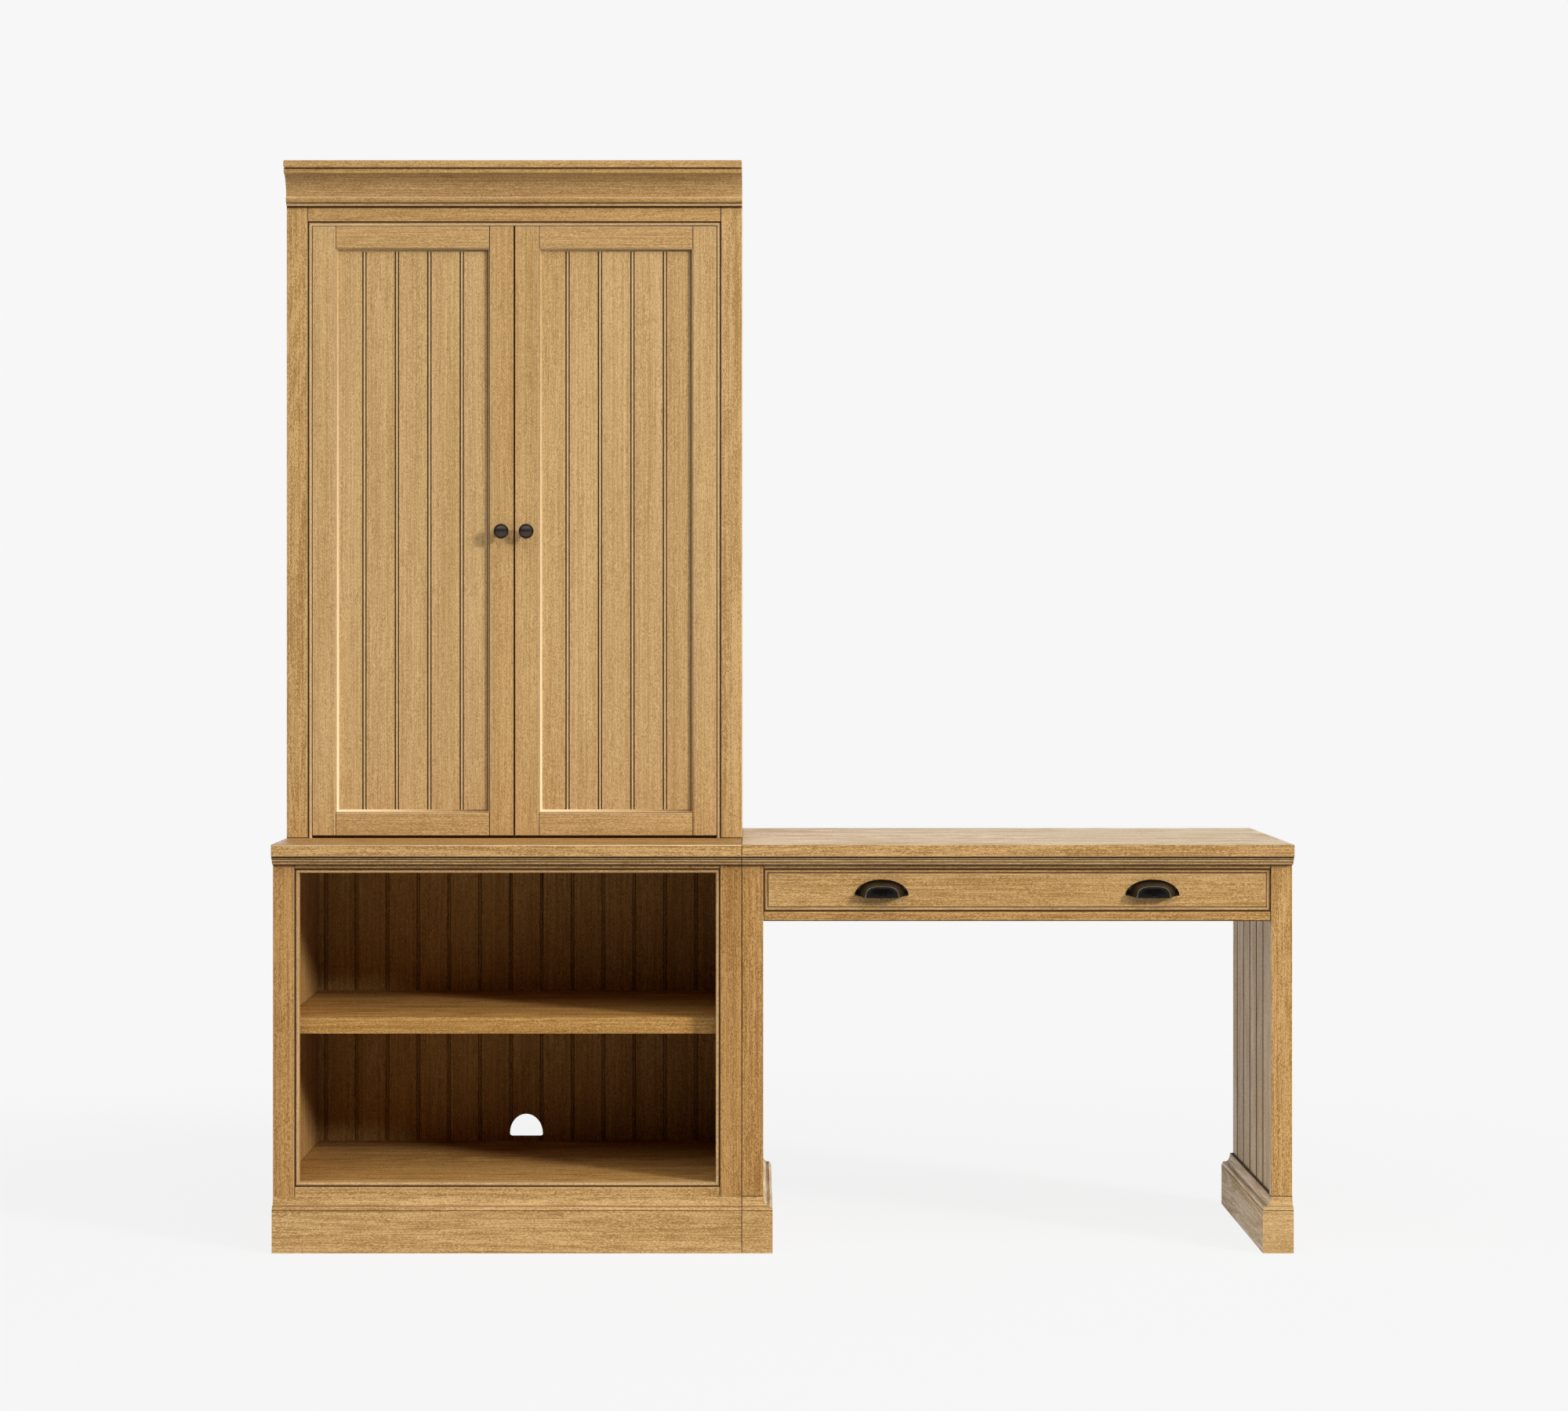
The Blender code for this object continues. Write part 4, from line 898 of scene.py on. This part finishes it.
def make_board(node, material):
    """A board of a solid's own shape, with eased arrises, its grain, its glaze lines and its painted shade,
    shadow and highlight lines.
    """
    bm = merged_copy(node)
    mark_grain(bm, node)
    paint_glaze_and_light_lines(bm, node, glaze_shadow_and_highlight_lines(node))
    paint_glaze_and_light_lines(bm, node, bead_shade_lines(node), FORWARDS)
    if node in GROOVED_BOARDS:
        paint_glaze_and_light_lines(bm, node, groove_shade_lines(node), GROOVED_BOARDS[node][2])
    board = finish_piece(node + "_board", bm, material, node)
    shading = board.modifiers.new("flat faces stay flat", "WEIGHTED_NORMAL")
    shading.keep_sharp = True


def make_hinge_piece(node, material):
    """A cup or an arm of a hinge, pressed of steel sheet."""
    finish_piece(node + "_pressing", merged_copy(node), material, node)


def spin_profile(profile, angle, steps, merge):
    """Turns a profile of (radius, distance towards the front) about an axis along Y."""
    bm = bmesh.new()
    verts = [bm.verts.new((radius, -out, 0.0)) for radius, out in profile]
    edges = [bm.edges.new(pair) for pair in zip(verts, verts[1:])]
    bmesh.ops.spin(
        bm, geom=verts + edges, cent=(0, 0, 0), axis=(0, -1, 0), angle=angle, steps=steps, use_merge=merge
    )
    bmesh.ops.remove_doubles(bm, verts=bm.verts, dist=MERGE_DISTANCE)
    bmesh.ops.recalc_face_normals(bm, faces=bm.faces)
    return bm


def make_knob(node, material):
    """A turned knob: foot, waisted neck, and a domed head with a fine ring inside its rim."""
    low, high = BOXES[node]
    radius = (high.x - low.x) / 2
    length = high.y - low.y
    rim = length - KNOB_RIM_BACK * MM
    profile = [(across * MM, out * MM) for across, out in KNOB_FOOT + KNOB_NECK]
    profile += [(radius - inset * MM, rim + past * MM) for inset, past in KNOB_RIM + KNOB_RING]
    inner = radius - KNOB_DOME_INSET * MM
    rise = length - rim - KNOB_DOME_FOOT * MM
    sphere = (inner * inner + rise * rise) / (2 * rise)
    for step in range(KNOB_DOME_STEPS):
        across = inner * (1 - step / KNOB_DOME_STEPS)
        profile.append((across, length - sphere + math.sqrt(sphere * sphere - across * across)))
    profile.append((0.0, length))
    bm = spin_profile(profile, 2 * math.pi, KNOB_SIDES, True)
    bmesh.ops.translate(bm, verts=bm.verts, vec=((low.x + high.x) / 2, high.y, (low.z + high.z) / 2))
    finish_piece(node + "_turned", bm, material, node)


def make_pull(node, material):
    """A cast cup pull: hollow skirt, rubbed ridge, domed front, and a lip that hangs below the skirt."""
    low, high = BOXES[node]
    half = (high.x - low.x) / 2
    deep = high.y - low.y
    lip_drop = PULL_LIP * MM
    tall = high.z - low.z - lip_drop
    profile = [(across * MM, out * MM) for across, out in PULL_SKIRT + PULL_RIDGE + PULL_FRONT]
    bm = spin_profile(profile, math.pi, PULL_STEPS, False)
    rubbed = bm.verts.layers.float.new("rubbed")
    for vert in bm.verts:
        across, out, up = vert.co.x, -vert.co.y, vert.co.z
        vert[rubbed] = float(out > PULL_CREST * MM)
        reach = math.hypot(across, up)
        if reach > 0.0:
            power = PULL_ROUND + PULL_SQUARING * (1.0 - reach / half)
            bulge = (abs(across / reach) ** power + abs(up / reach) ** power) ** (-1.0 / power)
            across, up = across * bulge, up * bulge
        up *= tall / half
        up -= lip_drop * (out / deep) * max(0.0, 1.0 - up / tall) ** 2
        vert.co = (across, -out, up)
    bmesh.ops.recalc_face_normals(bm, faces=bm.faces)
    crest = max(bm.faces, key=lambda face: face.calc_center_median().z)
    if crest.normal.z < 0:
        bmesh.ops.reverse_faces(bm, faces=bm.faces)
    bmesh.ops.translate(bm, verts=bm.verts, vec=((low.x + high.x) / 2, high.y, low.z + lip_drop))
    pull = finish_piece(node + "_casting", bm, material, node)
    wall = pull.modifiers.new("wall", "SOLIDIFY")
    wall.thickness = PULL_WALL * MM
    wall.offset = -1.0
    wall.use_even_offset = True
    round_over = pull.modifiers.new("cast edges", "SUBSURF")
    round_over.levels = 1
    round_over.render_levels = 1


def add_camera():
    """The eye of the photograph: level, with the frame shifted to where its level lines meet."""
    camera = bpy.data.objects.new("camera", bpy.data.cameras.new("camera"))
    camera.location = EYE
    camera.rotation_euler = (math.pi / 2, 0.0, 0.0)
    camera.data.sensor_width = SENSOR_WIDTH
    camera.data.lens = SENSOR_WIDTH * FOCAL_PIXELS / PHOTO_WIDTH
    camera.data.shift_x = (PHOTO_WIDTH / 2 - VANISHING_X) / PHOTO_WIDTH
    camera.data.shift_y = (VANISHING_Y - PHOTO_HEIGHT / 2) / PHOTO_WIDTH
    bpy.context.scene.collection.objects.link(camera)
    bpy.context.scene.camera = camera


def add_lamp():
    """The soft lamp, which shines on the front from the right and from above."""
    lamp = bpy.data.objects.new("soft_lamp", bpy.data.lights.new("soft_lamp", "AREA"))
    lamp.data.shape = "DISK"
    lamp.data.size = LAMP_SIZE
    lamp.data.energy = LAMP_POWER
    way = LAMP_WAY.normalized()
    lamp.location = LAMP_AIM + way * LAMP_DISTANCE
    lamp.rotation_euler = way.to_track_quat("Z", "Y").to_euler()
    # Mirrored in the lacquer, the lamp would whiten the tops from behind
    lamp.visible_glossy = False
    bpy.context.scene.collection.objects.link(lamp)


def add_room():
    """A dim room with a bright panel high in front, and white walls low down behind on both sides.

    The camera sees it white. The gap between the walls keeps light from shining in by the cable hole.
    """
    world = bpy.data.worlds.new("studio")
    world.use_nodes = True
    bpy.context.scene.world = world
    tree = world.node_tree
    way = add_node(tree, "ShaderNodeTexCoord").outputs["Generated"]
    parts = add_node(tree, "ShaderNodeSeparateXYZ", links={"Vector": way}).outputs
    steep = add_node(tree, "ShaderNodeMath", {}, {0: parts["Z"]}, operation="ABSOLUTE").outputs[0]
    shares = {"back": parts["Y"], "up": parts["Z"], "steep": steep}
    masks = {}
    for mask, (share, begins, full, most) in ROOM_MASKS.items():
        masks[mask] = add_node(
            tree,
            "ShaderNodeMapRange",
            {"From Min": begins, "From Max": full, "To Max": most},
            {"Value": shares[share]},
        ).outputs["Result"]
    path = add_node(tree, "ShaderNodeLightPath").outputs
    spread = add_node(
        tree,
        "ShaderNodeMix",
        {"B": WALL_SHEEN},
        {"Factor": path["Is Glossy Ray"], "A": masks["wall_aside"]},
        data_type="FLOAT",
    ).outputs["Result"]
    wall = masks["wall_behind"]
    for mask in (masks["wall_low"], spread):
        wall = add_node(tree, "ShaderNodeMath", {}, {0: wall, 1: mask}, operation="MULTIPLY").outputs[0]
    light = add_node(
        tree,
        "ShaderNodeMapRange",
        {"To Min": ROOM_LIGHT, "To Max": WALL_LIGHT},
        {"Value": wall},
        clamp=False,
    )
    panel = masks["panel_ahead"]
    for mask in (masks["panel_foot"], masks["panel_top"]):
        panel = add_node(tree, "ShaderNodeMath", {}, {0: panel, 1: mask}, operation="MULTIPLY").outputs[0]
    light = add_node(
        tree,
        "ShaderNodeMath",
        {1: PANEL_LIGHT},
        {0: panel, 2: light.outputs["Result"]},
        operation="MULTIPLY_ADD",
    )
    seen = add_node(
        tree,
        "ShaderNodeMath",
        {},
        {0: path["Is Camera Ray"], 1: path["Is Transmission Ray"]},
        operation="MAXIMUM",
    )
    strength = add_node(
        tree,
        "ShaderNodeMix",
        {"B": 1.0},
        {"Factor": seen.outputs[0], "A": light.outputs[0]},
        data_type="FLOAT",
    )
    background = tree.nodes["Background"]
    background.inputs["Color"].default_value = linear(WHITE)
    tree.links.new(strength.outputs["Result"], background.inputs["Strength"])


def add_floor():
    """A pale floor that is white to the camera, with only the faint shadow near the object."""
    bm = bmesh.new()
    bmesh.ops.create_grid(bm, x_segments=1, y_segments=1, size=FLOOR_SIZE / 2)
    bmesh.ops.translate(bm, verts=bm.verts, vec=(0, 0, -FLOOR_DROP))
    mesh = bpy.data.meshes.new("floor")
    bm.to_mesh(mesh)
    bm.free()
    floor = bpy.data.objects.new("floor", mesh)
    bpy.context.scene.collection.objects.link(floor)

    material, tree, shader = new_material("white_studio_floor")
    mesh.materials.append(material)
    tree.nodes.remove(shader)
    place = add_node(tree, "ShaderNodeTexCoord").outputs["Object"]
    reach = add_node(tree, "ShaderNodeVectorMath", {}, {0: place}, operation="LENGTH").outputs["Value"]
    fade = add_node(
        tree,
        "ShaderNodeMapRange",
        {"From Min": SHADE_NEAR, "From Max": SHADE_FAR},
        {"Value": reach},
        interpolation_type="SMOOTHSTEP",
    ).outputs["Result"]
    white = linear(WHITE)
    bounce = add_node(tree, "ShaderNodeBsdfDiffuse", {"Color": linear(FLOOR_GREY)}).outputs[0]
    shade_grey = white[0] * FLOOR_SHADE
    shade = add_node(tree, "ShaderNodeBsdfDiffuse", {"Color": (shade_grey, shade_grey, shade_grey, 1.0)})
    glow = add_node(tree, "ShaderNodeEmission", {"Color": white, "Strength": 1.0 - FLOOR_SHADE})
    near = add_node(tree, "ShaderNodeAddShader", {}, {0: shade.outputs[0], 1: glow.outputs[0]})
    far = add_node(tree, "ShaderNodeEmission", {"Color": white, "Strength": 1.0})
    seen = add_node(tree, "ShaderNodeMixShader", {}, {0: fade, 1: near.outputs[0], 2: far.outputs[0]})
    path = add_node(tree, "ShaderNodeLightPath").outputs
    shown = add_node(
        tree,
        "ShaderNodeMath",
        {},
        {0: path["Is Camera Ray"], 1: path["Is Glossy Ray"]},
        operation="MAXIMUM",
    )
    ground = add_node(
        tree, "ShaderNodeMixShader", {}, {0: shown.outputs[0], 1: bounce, 2: seen.outputs[0]}
    )
    tree.links.new(ground.outputs[0], tree.nodes["Material Output"].inputs["Surface"])


# Pale and deep wood, its pores, its glaze, which also paints shade, and its rubbed edges, which also paint
# highlights
OAK_COLOURS = ("#D6B27B", "#A47F4B", "#8A6433", "#3C1E04", "#FBE4BC")
DRAWER_COLOURS = ("#E6CDA0", "#C09A64", "#A88250", "#7A5A30", "#EBD8B4")
FINISHES = {
    "oak": oak_finish("satin_lacquered_oak", *OAK_COLOURS, contrast=1.0, roughness=0.38, specular=0.5),
    "inside_oak": oak_finish(
        "thinly_lacquered_oak", *OAK_COLOURS, contrast=0.9, roughness=0.7, specular=0.0
    ),
    "drawer_wood": oak_finish(
        "pale_drawer_oak", *DRAWER_COLOURS, contrast=0.7, roughness=0.45, specular=0.4
    ),
    "bronze": bronze_finish("oil_rubbed_bronze", "#453D38", "#554B44", smooth=0.34, rough=0.44),
    # The pulls' bronze is the knobs' finish, darker by painted shade, and glossier
    "bronze_with_painted_shade": bronze_finish(
        "oil_rubbed_bronze_with_painted_shade", "#1E1C19", "#2A2723", smooth=0.20, rough=0.28
    ),
    "hinge_steel": steel_finish(),
}
for node in sorted(frame["nodes"]):
    finish = FINISHES["inside_oak" if node in INSIDE_BOARDS else SLOTS[node]]
    if node.endswith("_knob"):
        make_knob(node, finish)
    elif node.endswith("_cup_pull"):
        make_pull(node, FINISHES["bronze_with_painted_shade"])
    elif SLOTS[node] == "hinge_steel":
        make_hinge_piece(node, finish)
    else:
        make_board(node, finish)

add_camera()
add_lamp()
add_room()
add_floor()
bpy.context.scene.view_settings.view_transform = "Standard"
